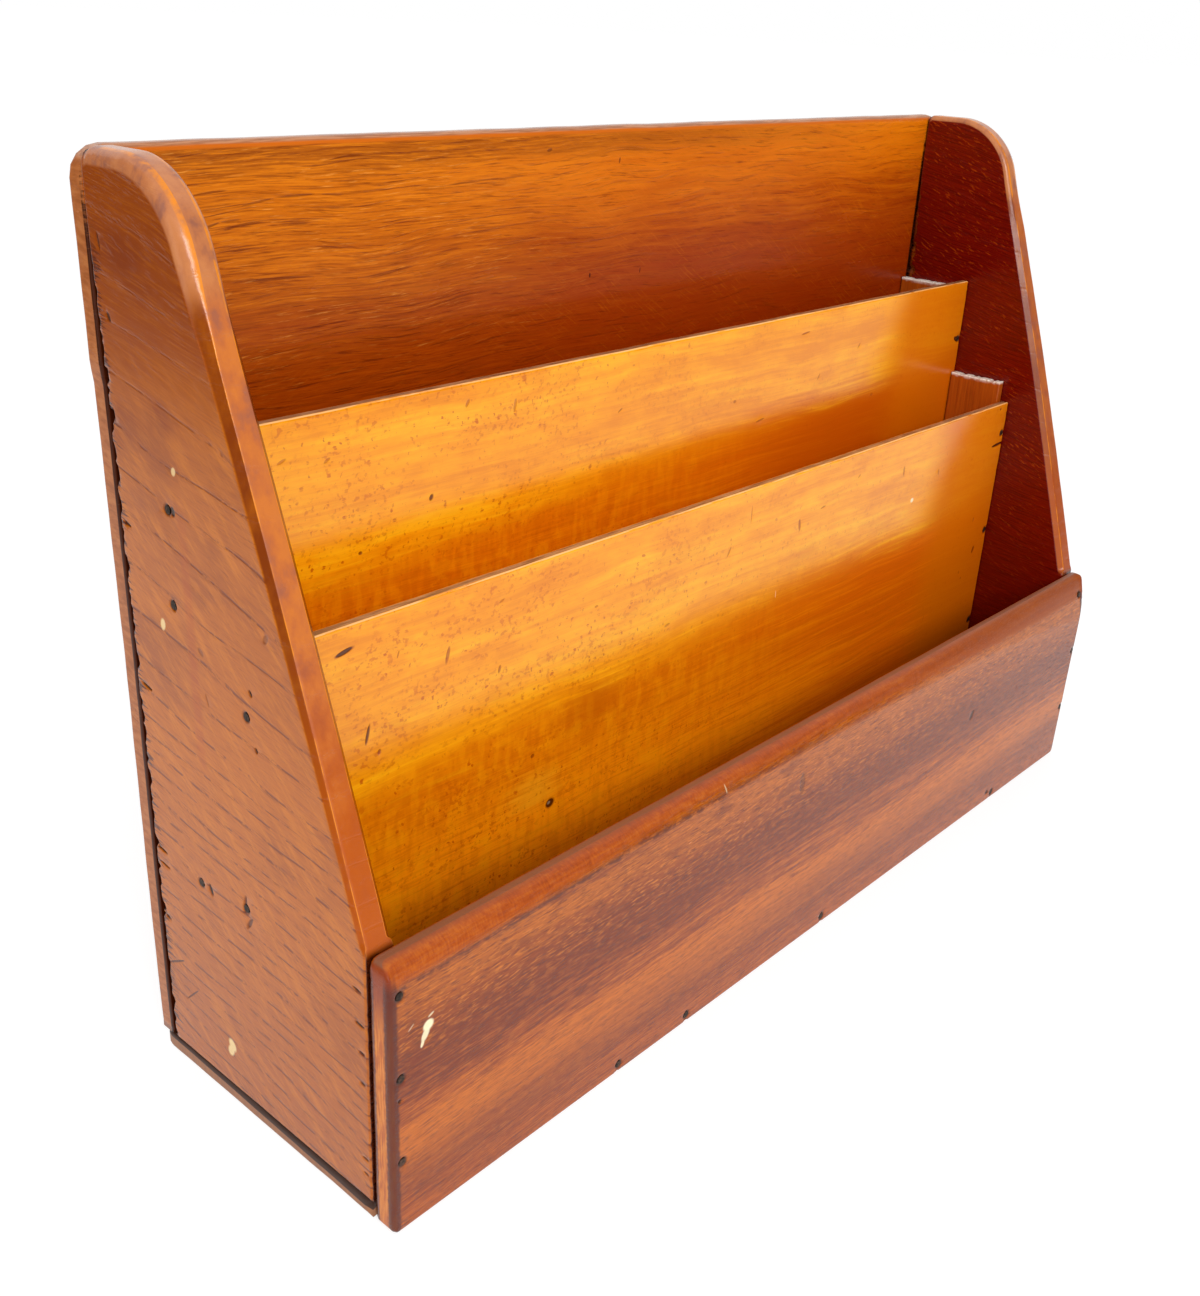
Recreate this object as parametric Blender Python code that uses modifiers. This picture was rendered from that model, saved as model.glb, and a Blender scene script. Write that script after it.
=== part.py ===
"""A nailed wooden letter rack: two oak sides, an oak back, a thin base, a mahogany front board and two
thin dividers that are pinned to strips against the sides. Metres, +Z up. The rack stands on z = 0, its
front faces -Y, and the origin is under the middle of it."""

import math

import bmesh
import bpy
from mathutils import Vector

# Overall size
rack_width = 0.330
rack_depth = 0.093
rack_height = 0.222

# Boards
front_height = 0.073
front_thickness = 0.0070
back_thickness = 0.0050
side_thickness = 0.0080
side_head_depth = 0.0276
base_thickness = 0.0045
divider_thickness = 0.0030
strip_thickness = 0.0030

# Pockets, and how high the dividers and their strips reach above the floor
front_pocket_depth = 0.0323
middle_pocket_depth = 0.0200
front_divider_top = 0.130
rear_divider_top = 0.169
front_strip_rise = 0.0070
rear_strip_drop = 0.0020

# Rounded corners and softened edges
side_corner_radius = 0.0230
side_edge_radius = 0.0026
back_corner_radius = 0.0060
back_edge_radius = 0.0010
base_corner_radius = 0.0040
front_roundover = 0.0046
front_corner_radius = 0.0025
divider_edge_radius = 0.0005

# Panel pins: the boards take the long ones, the dividers and strips the short ones
pin_head_radius = 0.0010
pin_head_thickness = 0.0006
pin_shank_radius = 0.00055
pin_point_length = 0.0016
long_pin_length = 0.0190
short_pin_length = 0.0110
pin_head_sink = 0.0001

# Clearances
joint_gap = 0.0003
drill_gap = 0.0003
cut_overrun = 0.0020

# Facets
arc_steps = 10
small_arc_steps = 4
side_edge_steps = 3
small_edge_steps = 2
pin_sides = 10
weld_share = 0.1
flat_angle = math.radians(1)
arris_angle = math.radians(50)

# Planes that the pieces share
front_face = -rack_depth / 2
front_inner = front_face + front_thickness
back_face = rack_depth / 2
back_inner = back_face - back_thickness
side_outer = rack_width / 2
side_inner = side_outer - side_thickness
side_front = front_inner + joint_gap
side_rear = back_inner - joint_gap
above_base = base_thickness + joint_gap
front_divider_front = front_inner + front_pocket_depth
front_divider_rear = front_divider_front + divider_thickness
rear_divider_front = front_divider_rear + middle_pocket_depth
rear_divider_rear = rear_divider_front + divider_thickness
strip_outer = side_inner - joint_gap
strip_inner = strip_outer - strip_thickness
front_strip_top = front_divider_top + front_strip_rise
rear_strip_top = rear_divider_top - rear_strip_drop


def new_collection(name):
    collection = bpy.data.collections.new(name)
    bpy.context.scene.collection.children.link(collection)
    return collection


def clear_scene():
    for old in list(bpy.data.objects):
        bpy.data.objects.remove(old, do_unlink=True)


def finish(name, colour, roughness, metallic=0.0):
    """A plain Principled material."""
    material = bpy.data.materials.new(name)
    material.use_nodes = True
    shader = material.node_tree.nodes["Principled BSDF"]
    shader.inputs["Base Color"].default_value = (*colour, 1.0)
    shader.inputs["Roughness"].default_value = roughness
    shader.inputs["Metallic"].default_value = metallic
    return material


def rounded(corners, steps):
    """A closed outline from corners of (x, y, radius): each radius becomes an arc of so many steps."""
    points = []
    for i, (x, y, radius) in enumerate(corners):
        corner = Vector((x, y))
        if not radius:
            points.append(corner)
            continue
        before = (Vector(corners[i - 1][:2]) - corner).normalized()
        after = (Vector(corners[(i + 1) % len(corners)][:2]) - corner).normalized()
        half = before.angle(after) / 2
        reach = radius / math.tan(half)
        centre = corner + (before + after).normalized() * (radius / math.sin(half))
        start = corner + before * reach - centre
        sweep = start.angle_signed(corner + after * reach - centre)
        for step in range(steps + 1):
            turn = -sweep * step / steps
            cos, sin = math.cos(turn), math.sin(turn)
            points.append(centre + Vector((start.x * cos - start.y * sin, start.x * sin + start.y * cos)))
    return points


def board(name, outline, thickness, middle, turn, collection):
    """A flat board: a closed outline, extruded by its thickness, as a welded mesh."""
    curve = bpy.data.curves.new(name + "_outline", "CURVE")
    curve.dimensions = "2D"
    curve.fill_mode = "BOTH"
    curve.extrude = thickness / 2
    spline = curve.splines.new("POLY")
    spline.points.add(len(outline) - 1)
    for point, place in zip(spline.points, outline):
        point.co = (place.x, place.y, 0, 1)
    spline.use_cyclic_u = True
    drawn = bpy.data.objects.new(name + "_drawn", curve)
    drawn.location = middle
    drawn.rotation_euler = turn
    collection.objects.link(drawn)
    bpy.context.view_layer.update()
    graph = bpy.context.evaluated_depsgraph_get()
    mesh = bpy.data.meshes.new_from_object(drawn.evaluated_get(graph))
    piece = bpy.data.objects.new(name, mesh)
    piece.matrix_world = drawn.matrix_world.copy()
    collection.objects.link(piece)
    bpy.data.objects.remove(drawn, do_unlink=True)
    shape = bmesh.new()
    shape.from_mesh(mesh)
    bmesh.ops.remove_doubles(shape, verts=shape.verts, dist=joint_gap * weld_share)
    bmesh.ops.dissolve_limit(shape, angle_limit=flat_angle, verts=shape.verts, edges=shape.edges)
    bmesh.ops.recalc_face_normals(shape, faces=shape.faces)
    shape.to_mesh(mesh)
    shape.free()
    smooth_but_for_arrises(mesh)
    return piece


def smooth_but_for_arrises(mesh):
    mesh.shade_smooth()
    mesh.set_sharp_from_angle(angle=arris_angle)


FACING_FRONT = (math.pi / 2, 0, 0)
FACING_SIDE = (math.pi / 2, 0, math.pi / 2)
LYING_FLAT = (0, 0, 0)


def block(name, low, high, collection):
    """A box between two opposite corners."""
    shape = bmesh.new()
    bmesh.ops.create_cube(shape, size=1)
    bmesh.ops.scale(shape, vec=[b - a for a, b in zip(low, high)], verts=shape.verts)
    mesh = bpy.data.meshes.new(name)
    shape.to_mesh(mesh)
    shape.free()
    smooth_but_for_arrises(mesh)
    piece = bpy.data.objects.new(name, mesh)
    piece.location = [(a + b) / 2 for a, b in zip(low, high)]
    collection.objects.link(piece)
    return piece


def soften(piece, radius, segments, chosen):
    """Rounds the edges whose two ends both pass the test, which is given world positions."""
    bpy.context.view_layer.update()
    shape = bmesh.new()
    shape.from_mesh(piece.data)
    weight = shape.edges.layers.float.new("bevel_weight_edge")
    for edge in shape.edges:
        ends = [piece.matrix_world @ vert.co for vert in edge.verts]
        if not edge.smooth and chosen(*ends):
            edge[weight] = 1
            edge.smooth = True
    shape.to_mesh(piece.data)
    shape.free()
    bevel = piece.modifiers.new("softened edges", "BEVEL")
    bevel.limit_method = "WEIGHT"
    bevel.width = radius
    bevel.segments = segments
    bevel.use_clamp_overlap = False


def turned(name, profile, sides, collection):
    """A turned shape about Z, from a profile of (radius, height) that runs from its top to its bottom."""
    mesh = bpy.data.meshes.new(name)
    verts = [(radius, 0, height) for radius, height in profile]
    mesh.from_pydata(verts, [(i, i + 1) for i in range(len(verts) - 1)], [])
    piece = bpy.data.objects.new(name, mesh)
    collection.objects.link(piece)
    lathe = piece.modifiers.new("turned", "SCREW")
    lathe.steps = sides
    lathe.render_steps = sides
    lathe.use_merge_vertices = True
    lathe.merge_threshold = pin_shank_radius * weld_share
    lathe.use_smooth_shade = True
    return piece


def pin_profile(length, gap, rise):
    """A panel pin with its head at the top. A gap round it, and a rise above it, give the hole that it sits in."""
    neck = -pin_head_sink - pin_head_thickness - gap
    tip = -length - gap
    return [
        (0, rise),
        (pin_head_radius + gap, rise),
        (pin_head_radius + gap, neck),
        (pin_shank_radius + gap, neck),
        (pin_shank_radius + gap, tip + pin_point_length),
        (0, tip),
    ]


def pin(name, head, drive, length, holes):
    """One panel pin and the hole drilled for it. The head is where the pin enters the wood."""
    turn = Vector((0, 0, -1)).rotation_difference(Vector(drive)).to_euler()
    steel = turned(name, pin_profile(length, 0, -pin_head_sink), pin_sides, rack)
    steel.data.materials.append(iron)
    hole = turned(name + "_hole", pin_profile(length, drill_gap, cut_overrun), pin_sides, holes)
    hole.hide_render = True
    hole.display_type = "WIRE"
    for piece in (steel, hole):
        piece.location = head
        piece.rotation_euler = turn


def drill(piece, *rows):
    """Bores a piece for every pin of the rows given."""
    for holes in rows:
        cut = piece.modifiers.new(holes.name, "BOOLEAN")
        cut.operation = "DIFFERENCE"
        cut.solver = "EXACT"
        cut.operand_type = "COLLECTION"
        cut.collection = holes


def hole_row(name):
    holes = bpy.data.collections.new(name)
    cutters.children.link(holes)
    return holes


clear_scene()
rack = new_collection("letter_rack")
cutters = new_collection("cutters")

oak_outside = finish("polished oak", (0.46, 0.21, 0.10), 0.35)
oak_inside = finish("oak back, warm polish", (0.50, 0.17, 0.03), 0.35)
mahogany = finish("mahogany", (0.40, 0.16, 0.09), 0.35)
honey_wood = finish("honey coloured divider wood", (0.68, 0.33, 0.05), 0.35)
strip_wood = finish("strip wood", (0.42, 0.15, 0.04), 0.45)
base_wood = finish("base wood", (0.36, 0.18, 0.09), 0.55)
iron = finish("dark iron pin", (0.06, 0.05, 0.045), 0.55, 1.0)


# Front board: full width, down to the floor, with a rounded top edge in front and eased corners
front_profile = rounded(
    [
        (front_face, 0, 0),
        (front_inner, 0, 0),
        (front_inner, front_height, 0),
        (front_face, front_height, front_roundover),
    ],
    small_arc_steps,
)
front_board = board("front_board", front_profile, rack_width, (0, 0, 0), FACING_SIDE, rack)
front_board.data.materials.append(mahogany)
front_corners = [
    (side_outer, 0, front_corner_radius),
    (side_outer, front_height, front_corner_radius),
    (-side_outer, front_height, front_corner_radius),
    (-side_outer, 0, front_corner_radius),
]
front_trim = board(
    "front_board_outline",
    rounded(front_corners, small_arc_steps),
    front_thickness + 2 * cut_overrun,
    (0, (front_face + front_inner) / 2, 0),
    FACING_FRONT,
    cutters,
)
front_trim.hide_render = True
front_trim.display_type = "WIRE"
trim = front_board.modifiers.new("eased corners", "BOOLEAN")
trim.operation = "INTERSECT"
trim.solver = "EXACT"
trim.object = front_trim


# Sides: a sloping front edge from the front board's top up to a large rounded corner
side_corners = [
    (side_front, above_base, 0),
    (side_front, front_height, 0),
    (side_rear - side_head_depth, rack_height, side_corner_radius),
    (side_rear, rack_height, 0),
    (side_rear, above_base, 0),
]
side_outline = rounded(side_corners, arc_steps)
side_middle = (side_outer + side_inner) / 2


def is_side_front_or_top(a, b):
    """True along the slope, the rounded corner and the top, and false at the back, base and front joint."""
    at_back = min(a.y, b.y) > side_rear - joint_gap
    across = abs(a.x - b.x) > joint_gap
    return min(a.z, b.z) > front_height - joint_gap and not at_back and not across


def side_board(name, x):
    side = board(name, side_outline, side_thickness, (x, 0, 0), FACING_SIDE, rack)
    side.data.materials.append(oak_outside)
    soften(side, side_edge_radius, side_edge_steps, is_side_front_or_top)
    return side


side_left = side_board("side_left", -side_middle)
side_right = side_board("side_right", side_middle)


# Back board: full width, lapped over the rear edges of the sides and standing on the base
back_corners = [
    (side_outer, above_base, 0),
    (side_outer, rack_height, back_corner_radius),
    (-side_outer, rack_height, back_corner_radius),
    (-side_outer, above_base, 0),
]
back_outline = rounded(back_corners, small_arc_steps)
back_middle = (back_inner + back_face) / 2
back_board = board("back_board", back_outline, back_thickness, (0, back_middle, 0), FACING_FRONT, rack)
back_board.data.materials.append(oak_inside)


def is_back_top(a, b):
    across = abs(a.y - b.y) > joint_gap
    return min(a.z, b.z) > rack_height - back_corner_radius - joint_gap and not across


soften(back_board, back_edge_radius, small_edge_steps, is_back_top)


# Base: under the sides and the back board, behind the front board, with rounded rear corners
base_corners = [
    (-side_outer, side_front, 0),
    (side_outer, side_front, 0),
    (side_outer, back_face, base_corner_radius),
    (-side_outer, back_face, base_corner_radius),
]
base_outline = rounded(base_corners, small_arc_steps)
base_board = board("base_board", base_outline, base_thickness, (0, 0, base_thickness / 2), LYING_FLAT, rack)
base_board.data.materials.append(base_wood)


# Dividers: thin boards between the sides, pinned to the front ends of the strips
def divider(name, front, top):
    piece = block(
        name, (-strip_outer, front, above_base), (strip_outer, front + divider_thickness, top), rack
    )
    piece.data.materials.append(honey_wood)

    def is_top(a, b):
        along = abs(a.x - b.x) > joint_gap
        return min(a.z, b.z) > top - divider_edge_radius and along

    soften(piece, divider_edge_radius, small_edge_steps, is_top)
    return piece


front_divider = divider("divider_front", front_divider_front, front_divider_top)
rear_divider = divider("divider_rear", rear_divider_front, rear_divider_top)


# Strips: thin upright boards against the sides, which carry the dividers and hold them apart
strips = {}
for end, front, rear, top in (
    ("front", front_divider_rear, rear_divider_front, front_strip_top),
    ("rear", rear_divider_rear, back_inner, rear_strip_top),
):
    for hand, sign in (("left", -1), ("right", 1)):
        x_low, x_high = sorted((sign * strip_inner, sign * strip_outer))
        strip = block(
            f"strip_{end}_{hand}",
            (x_low, front + joint_gap, above_base),
            (x_high, rear - joint_gap, top),
            rack,
        )
        strip.data.materials.append(strip_wood)
        strips[end, hand] = strip


# Pins through the front board: up the front edge of each side, and along the front edge of the base
front_pin_height_shares = (0.28, 0.60, 0.90)
front_pin_inset_share = 0.36
front_base_pin_shares = (-0.54, -0.37, 0.03, 0.69)
front_base_pin_height_share = 0.60

front_side_holes = hole_row("holes, front board to sides")
for hand, sign in (("left", -1), ("right", 1)):
    for number, share in enumerate(front_pin_height_shares, 1):
        x = sign * (side_outer - front_pin_inset_share * side_thickness)
        pin(
            f"pin_front_{hand}_{number}",
            (x, front_face, share * front_height),
            (0, 1, 0),
            long_pin_length,
            front_side_holes,
        )
front_base_holes = hole_row("holes, front board to base")
for number, share in enumerate(front_base_pin_shares, 1):
    pin(
        f"pin_front_base_{number}",
        (share * side_outer, front_face, front_base_pin_height_share * base_thickness),
        (0, 1, 0),
        long_pin_length,
        front_base_holes,
    )


# Pins through the back board into the rear edges of the sides
back_pin_height_shares = (0.12, 0.38, 0.64, 0.90)
back_holes = hole_row("holes, back board to sides")
for hand, sign in (("left", -1), ("right", 1)):
    for number, share in enumerate(back_pin_height_shares, 1):
        pin(
            f"pin_back_{hand}_{number}",
            (sign * side_middle, back_face, share * rack_height),
            (0, -1, 0),
            long_pin_length,
            back_holes,
        )


# Pins up through the base into the sides and the back board
base_pin_depth_shares = (0.30, 0.75)
base_back_pin_shares = (-0.60, 0, 0.60)
base_holes = hole_row("holes, base to sides and back")
for hand, sign in (("left", -1), ("right", 1)):
    for number, share in enumerate(base_pin_depth_shares, 1):
        pin(
            f"pin_base_{hand}_{number}",
            (sign * side_middle, side_front + share * (side_rear - side_front), 0),
            (0, 0, 1),
            long_pin_length,
            base_holes,
        )
for number, share in enumerate(base_back_pin_shares, 1):
    pin(
        f"pin_base_back_{number}",
        (share * side_outer, back_middle, 0),
        (0, 0, 1),
        long_pin_length,
        base_holes,
    )


# Pins through each divider's ends into the front ends of its strips, by their heights
divider_pin_height_shares = {"front": (0.35, 0.63, 0.915), "rear": (0.34, 0.62, 0.88)}
divider_pin_x = (strip_inner + strip_outer) / 2
divider_holes = {}
for end, face, top in (
    ("front", front_divider_front, front_divider_top),
    ("rear", rear_divider_front, rear_divider_top),
):
    divider_holes[end] = hole_row(f"holes, {end} divider to strips")
    for hand, sign in (("left", -1), ("right", 1)):
        for number, share in enumerate(divider_pin_height_shares[end], 1):
            pin(
                f"pin_divider_{end}_{hand}_{number}",
                (sign * divider_pin_x, face, share * top),
                (0, 1, 0),
                short_pin_length,
                divider_holes[end],
            )


# Pins through the sides into the strips: how far back along its strip each is, and how far up its divider
strip_pin_place_shares = {
    "front": ((0.36, 0.49), (0.10, 0.88)),
    "rear": ((0.10, 0.366), (0.15, 0.78), (0.10, 0.908)),
}
strip_pin_bite_share = 0.70
strip_pin_length = side_thickness + joint_gap + strip_pin_bite_share * strip_thickness
strip_holes = hole_row("holes, sides to strips")
for end, front, rear, top in (
    ("front", front_divider_rear, rear_divider_front, front_divider_top),
    ("rear", rear_divider_rear, back_inner, rear_divider_top),
):
    for hand, sign in (("left", -1), ("right", 1)):
        for number, (depth_share, height_share) in enumerate(strip_pin_place_shares[end], 1):
            pin(
                f"pin_strip_{end}_{hand}_{number}",
                (sign * side_outer, front + depth_share * (rear - front), height_share * top),
                (-sign, 0, 0),
                strip_pin_length,
                strip_holes,
            )


# Every board is bored for the pins that enter it
drill(front_board, front_side_holes, front_base_holes)
drill(back_board, back_holes, base_holes)
drill(base_board, front_base_holes, base_holes)
drill(side_left, front_side_holes, back_holes, base_holes, strip_holes)
drill(side_right, front_side_holes, back_holes, base_holes, strip_holes)
drill(front_divider, divider_holes["front"])
drill(rear_divider, divider_holes["rear"])
for (end, _), strip in strips.items():
    drill(strip, divider_holes[end], strip_holes)


# The flat faces stay flat beside the smooth ones
for piece in rack.objects:
    normals = piece.modifiers.new("flat faces", "WEIGHTED_NORMAL")
    normals.keep_sharp = True
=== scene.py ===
import math

import bmesh
import bpy
import numpy as np
from mathutils import Euler, Matrix, Vector, geometry, noise


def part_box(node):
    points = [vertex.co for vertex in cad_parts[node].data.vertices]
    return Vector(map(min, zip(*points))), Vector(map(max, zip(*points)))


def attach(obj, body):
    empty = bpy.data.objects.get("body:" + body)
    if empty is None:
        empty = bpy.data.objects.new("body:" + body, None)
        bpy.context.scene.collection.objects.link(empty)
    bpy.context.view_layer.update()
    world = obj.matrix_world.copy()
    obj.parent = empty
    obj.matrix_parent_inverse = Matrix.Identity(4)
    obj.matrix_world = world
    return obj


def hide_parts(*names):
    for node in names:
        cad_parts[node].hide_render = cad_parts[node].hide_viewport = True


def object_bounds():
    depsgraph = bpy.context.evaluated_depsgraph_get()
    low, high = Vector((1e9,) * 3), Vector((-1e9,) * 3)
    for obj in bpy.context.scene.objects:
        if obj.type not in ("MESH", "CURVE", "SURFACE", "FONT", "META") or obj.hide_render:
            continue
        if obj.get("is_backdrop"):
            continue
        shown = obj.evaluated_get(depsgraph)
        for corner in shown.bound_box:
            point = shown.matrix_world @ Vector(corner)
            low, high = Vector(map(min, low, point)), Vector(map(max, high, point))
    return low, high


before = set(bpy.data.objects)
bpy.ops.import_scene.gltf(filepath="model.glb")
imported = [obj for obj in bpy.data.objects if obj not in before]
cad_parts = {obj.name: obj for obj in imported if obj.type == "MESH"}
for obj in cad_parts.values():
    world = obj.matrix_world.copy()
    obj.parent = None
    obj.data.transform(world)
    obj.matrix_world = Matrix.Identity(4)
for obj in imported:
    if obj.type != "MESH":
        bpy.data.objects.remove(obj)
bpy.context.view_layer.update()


# The camera
# It stands in front of the rack's left end, a little above its top, and looks down into the pockets.
camera_place = (-0.3089, -0.2228, 0.2501)
camera_heading = math.radians(-48.94)
camera_pitch = math.radians(-25.64)
camera_roll = math.radians(2.93)
camera_lens = 38.46
camera_sensor = 36
camera_shift = (0.0041, 0.0201)
camera_reach = (0.01, 100)


def put_in_scene(name, data):
    """A new object in the scene, made of that mesh, lamp or camera."""
    thing = bpy.data.objects.new(name, data)
    bpy.context.scene.collection.objects.link(thing)
    return thing


camera = put_in_scene("camera", bpy.data.cameras.new("camera"))
bpy.context.scene.camera = camera
camera.location = camera_place
level = Euler((math.pi / 2 + camera_pitch, 0, camera_heading)).to_matrix()
camera.rotation_euler = (level @ Matrix.Rotation(camera_roll, 3, "Z")).to_euler()
camera.data.lens = camera_lens
camera.data.sensor_width = camera_sensor
camera.data.shift_x, camera.data.shift_y = camera_shift
camera.data.clip_start, camera.data.clip_end = camera_reach
bpy.context.scene.view_settings.view_transform = "Standard"


# The studio
# A wide sheet of white paper under an even white sky, one soft lamp behind the camera's left shoulder,
# and three dark cards that stand outside the view, where the polish mirrors the far end of the room.
pure_white = (1, 1, 1)
sky_level = 0.74
floor_size = 30.0
floor_white = (0.86, 0.86, 0.86)
floor_seen = (0.36, 0.36, 0.36)
floor_lift = 0.745
lamp_place = Vector((-0.72, -1.18, 0.95))
lamp_aim = Vector((0, 0, 0.1))
lamp_size = 0.55
lamp_power = 13.0
card_grey = (0.03, 0.02, 0.015)
card_roughness = 0.9


class Sketch:
    """Draws a node tree. Each method adds one or more nodes and returns their output."""

    def __init__(self, tree):
        self.tree = tree

    def add(self, kind, **settings):
        node = self.tree.nodes.new(kind)
        for name, value in settings.items():
            setattr(node, name, value)
        return node

    def feed(self, socket, value):
        """Links an output to a socket, or sets the socket to a number, a colour or a vector."""
        if isinstance(value, bpy.types.NodeSocket):
            self.tree.links.new(value, socket)
        elif socket.type == "RGBA" and len(value) == 3:
            socket.default_value = (*value, 1.0)
        else:
            socket.default_value = value

    def fed(self, node, *values):
        """Feeds a node's first sockets in their order, and returns its first output."""
        for socket, value in zip(node.inputs, values):
            self.feed(socket, value)
        return node.outputs[0]

    def math(self, operation, *values):
        return self.fed(self.add("ShaderNodeMath", operation=operation), *values)

    def times(self, first, *others):
        for other in others:
            first = self.math("MULTIPLY", first, other)
        return first

    def most(self, first, *others):
        for other in others:
            first = self.math("MAXIMUM", first, other)
        return first

    def minus(self, value, other):
        return self.math("SUBTRACT", value, other)

    def over(self, value, other):
        return self.math("DIVIDE", value, other)

    def scaled(self, value, factor, added):
        return self.math("MULTIPLY_ADD", value, factor, added)

    def mix(self, factor, first, second):
        """A colour mix."""
        node = self.add("ShaderNodeMix", data_type="RGBA")
        for place, value in ((0, factor), (6, first), (7, second)):
            self.feed(node.inputs[place], value)
        return node.outputs[2]

    def tint(self, colour, *coats):
        """Lays coats over a colour, one after another. A coat is a mask, its strength and its colour."""
        for mask, strength, coat in coats:
            colour = self.mix(self.times(mask, strength), colour, coat)
        return colour

    def step(self, value, low, high):
        """A soft step from 0 at low to 1 at high."""
        return self.fed(self.add("ShaderNodeMapRange", interpolation_type="SMOOTHSTEP"), value, low, high)

    def between(self, value, low, high, soft):
        """A soft band: 1 between low and high, and 0 beyond them."""
        rise = self.step(value, low - soft, low + soft)
        return self.times(rise, self.step(value, high + soft, high - soft))

    def colours(self, value, *stops):
        """A colour ramp through stops of (position, colour)."""
        node = self.add("ShaderNodeValToRGB")
        ramp = node.color_ramp
        while len(ramp.elements) < len(stops):
            ramp.elements.new(1.0)
        for element, (position, colour) in zip(ramp.elements, stops):
            element.position = position
            element.color = (*colour, 1.0)
        return self.fed(node, value)

    def shades(self, value, spread, dark, middle, light):
        """A colour ramp that has its middle colour at 0.5, and its ends that far to either side."""
        return self.colours(value, (0.5 - spread, dark), (0.5, middle), (0.5 + spread, light))

    def parts(self, vector):
        node = self.add("ShaderNodeSeparateXYZ")
        self.feed(node.inputs[0], vector)
        return node.outputs

    def joined(self, *values):
        return self.fed(self.add("ShaderNodeCombineXYZ"), *values)

    def noise(self, vector, *sizes, detail=2.0, roughness=0.5):
        """A noise, whose lumps have those sizes along the axes."""
        if sizes:
            parts = self.parts(vector)
            vector = self.joined(*[self.over(part, size) for part, size in zip(parts, sizes)])
        node = self.add("ShaderNodeTexNoise")
        self.feed(node.inputs["Vector"], vector)
        node.inputs["Scale"].default_value = 1.0
        node.inputs["Detail"].default_value = detail
        node.inputs["Roughness"].default_value = roughness
        return node.outputs[0]

    def wander(self, value, *pulls):
        """A value moved up and down by noises, each by half of its reach either way."""
        for pull, reach in pulls:
            value = self.scaled(self.minus(pull, 0.5), reach, value)
        return value

    def attribute(self, name):
        return self.add("ShaderNodeAttribute", attribute_name=name).outputs["Fac"]

    def use(self, group, vector, **values):
        """Places a node group, with its inputs named in small letters."""
        node = self.add("ShaderNodeGroup", node_tree=group)
        for name, value in {"vector": vector, **values}.items():
            self.feed(node.inputs[name.capitalize()], value)
        return node.outputs[0]


def white_to_lens(sketch, light, white):
    """Mixes in a plain white shader for what the camera, polish and glass see."""
    path = sketch.add("ShaderNodeLightPath").outputs
    seen = sketch.most(path["Is Camera Ray"], path["Is Glossy Ray"], path["Is Transmission Ray"])
    return sketch.fed(sketch.add("ShaderNodeMixShader"), seen, light, white)


def new_material(name):
    """A new material, a sketch of its node tree, and its Principled shader."""
    material = bpy.data.materials.new(name)
    material.use_nodes = True
    return material, Sketch(material.node_tree), material.node_tree.nodes["Principled BSDF"]


world = bpy.data.worlds.new("white sky")
bpy.context.scene.world = world
world.use_nodes = True
sky = Sketch(world.node_tree)
light = sky.fed(world.node_tree.nodes["Background"], pure_white, sky_level)
white = sky.fed(sky.add("ShaderNodeBackground"), pure_white)
sky.feed(world.node_tree.nodes["World Output"].inputs["Surface"], white_to_lens(sky, light, white))

paper, sheet, unused_shader = new_material("white paper")
paper.node_tree.nodes.remove(unused_shader)
matt = sheet.fed(sheet.add("ShaderNodeBsdfDiffuse"), floor_white)
seen_matt = sheet.fed(sheet.add("ShaderNodeBsdfDiffuse"), floor_seen)
glow = sheet.fed(sheet.add("ShaderNodeEmission"), pure_white, floor_lift)
lifted = sheet.fed(sheet.add("ShaderNodeAddShader"), seen_matt, glow)
paper_output = paper.node_tree.nodes["Material Output"]
sheet.feed(paper_output.inputs["Surface"], white_to_lens(sheet, matt, lifted))


def flat_sheet(name, width, height, material):
    """A flat rectangle in its own XY plane, which is part of the studio."""
    mesh = bpy.data.meshes.new(name)
    w, h = width / 2, height / 2
    mesh.from_pydata([(-w, -h, 0), (w, -h, 0), (w, h, 0), (-w, h, 0)], [], [(0, 1, 2, 3)])
    mesh.materials.append(material)
    piece = put_in_scene(name, mesh)
    piece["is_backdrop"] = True
    return piece


flat_sheet("paper_floor", floor_size, floor_size, paper)

dark_card, _, card_shader = new_material("dark card")
card_shader.inputs["Base Color"].default_value = (*card_grey, 1.0)
card_shader.inputs["Roughness"].default_value = card_roughness
for name, place, facing, width, height in (
    ("card_behind_left", (-0.49, 0.75), (1, 0, 0), 1.20, 0.80),
    ("card_front_right", (1.06, -0.52), (0, 1, 0), 2.10, 1.60),
    ("card_left", (-0.40, -0.19), (1, 0, 0), 0.42, 0.36),
):
    card = flat_sheet(name, width, height, dark_card)
    card.rotation_euler = Vector(facing).to_track_quat("Z", "Y").to_euler()
    card.location = (*place, height / 2)
    card.visible_camera = False
    card.visible_diffuse = False
    card.visible_transmission = False
    card.visible_shadow = False

lamp = put_in_scene("soft_lamp", bpy.data.lights.new("soft_lamp", "AREA"))
lamp.data.energy = lamp_power
lamp.data.size = lamp_size
lamp.location = lamp_place
lamp.rotation_euler = (lamp_aim - lamp_place).to_track_quat("-Z", "Y").to_euler()


# The base board
# A thin board of plain wood that the sides and the back stand on. It is cut flush with them, its rear
# corners are rounded, and at the left its upper edge is worn away under the side.
base_corner = 4.0
base_wear = 0.12
base_edge = 0.7
base_left_wear = 2.4

MM = 0.001
X, Y, Z = (Vector(axis) for axis in ((1, 0, 0), (0, 1, 0), (0, 0, 1)))
LYING = (X, Y, Z)


def node_span(node, axes):
    """A CAD node's lowest and highest values along a board's own axes, in millimetres."""
    low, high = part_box(node)
    return [(low.dot(axis) / MM, high.dot(axis) / MM) for axis in axes]


def held(value):
    """A share, held between 0 and 1."""
    return max(0.0, min(1.0, value))


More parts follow.
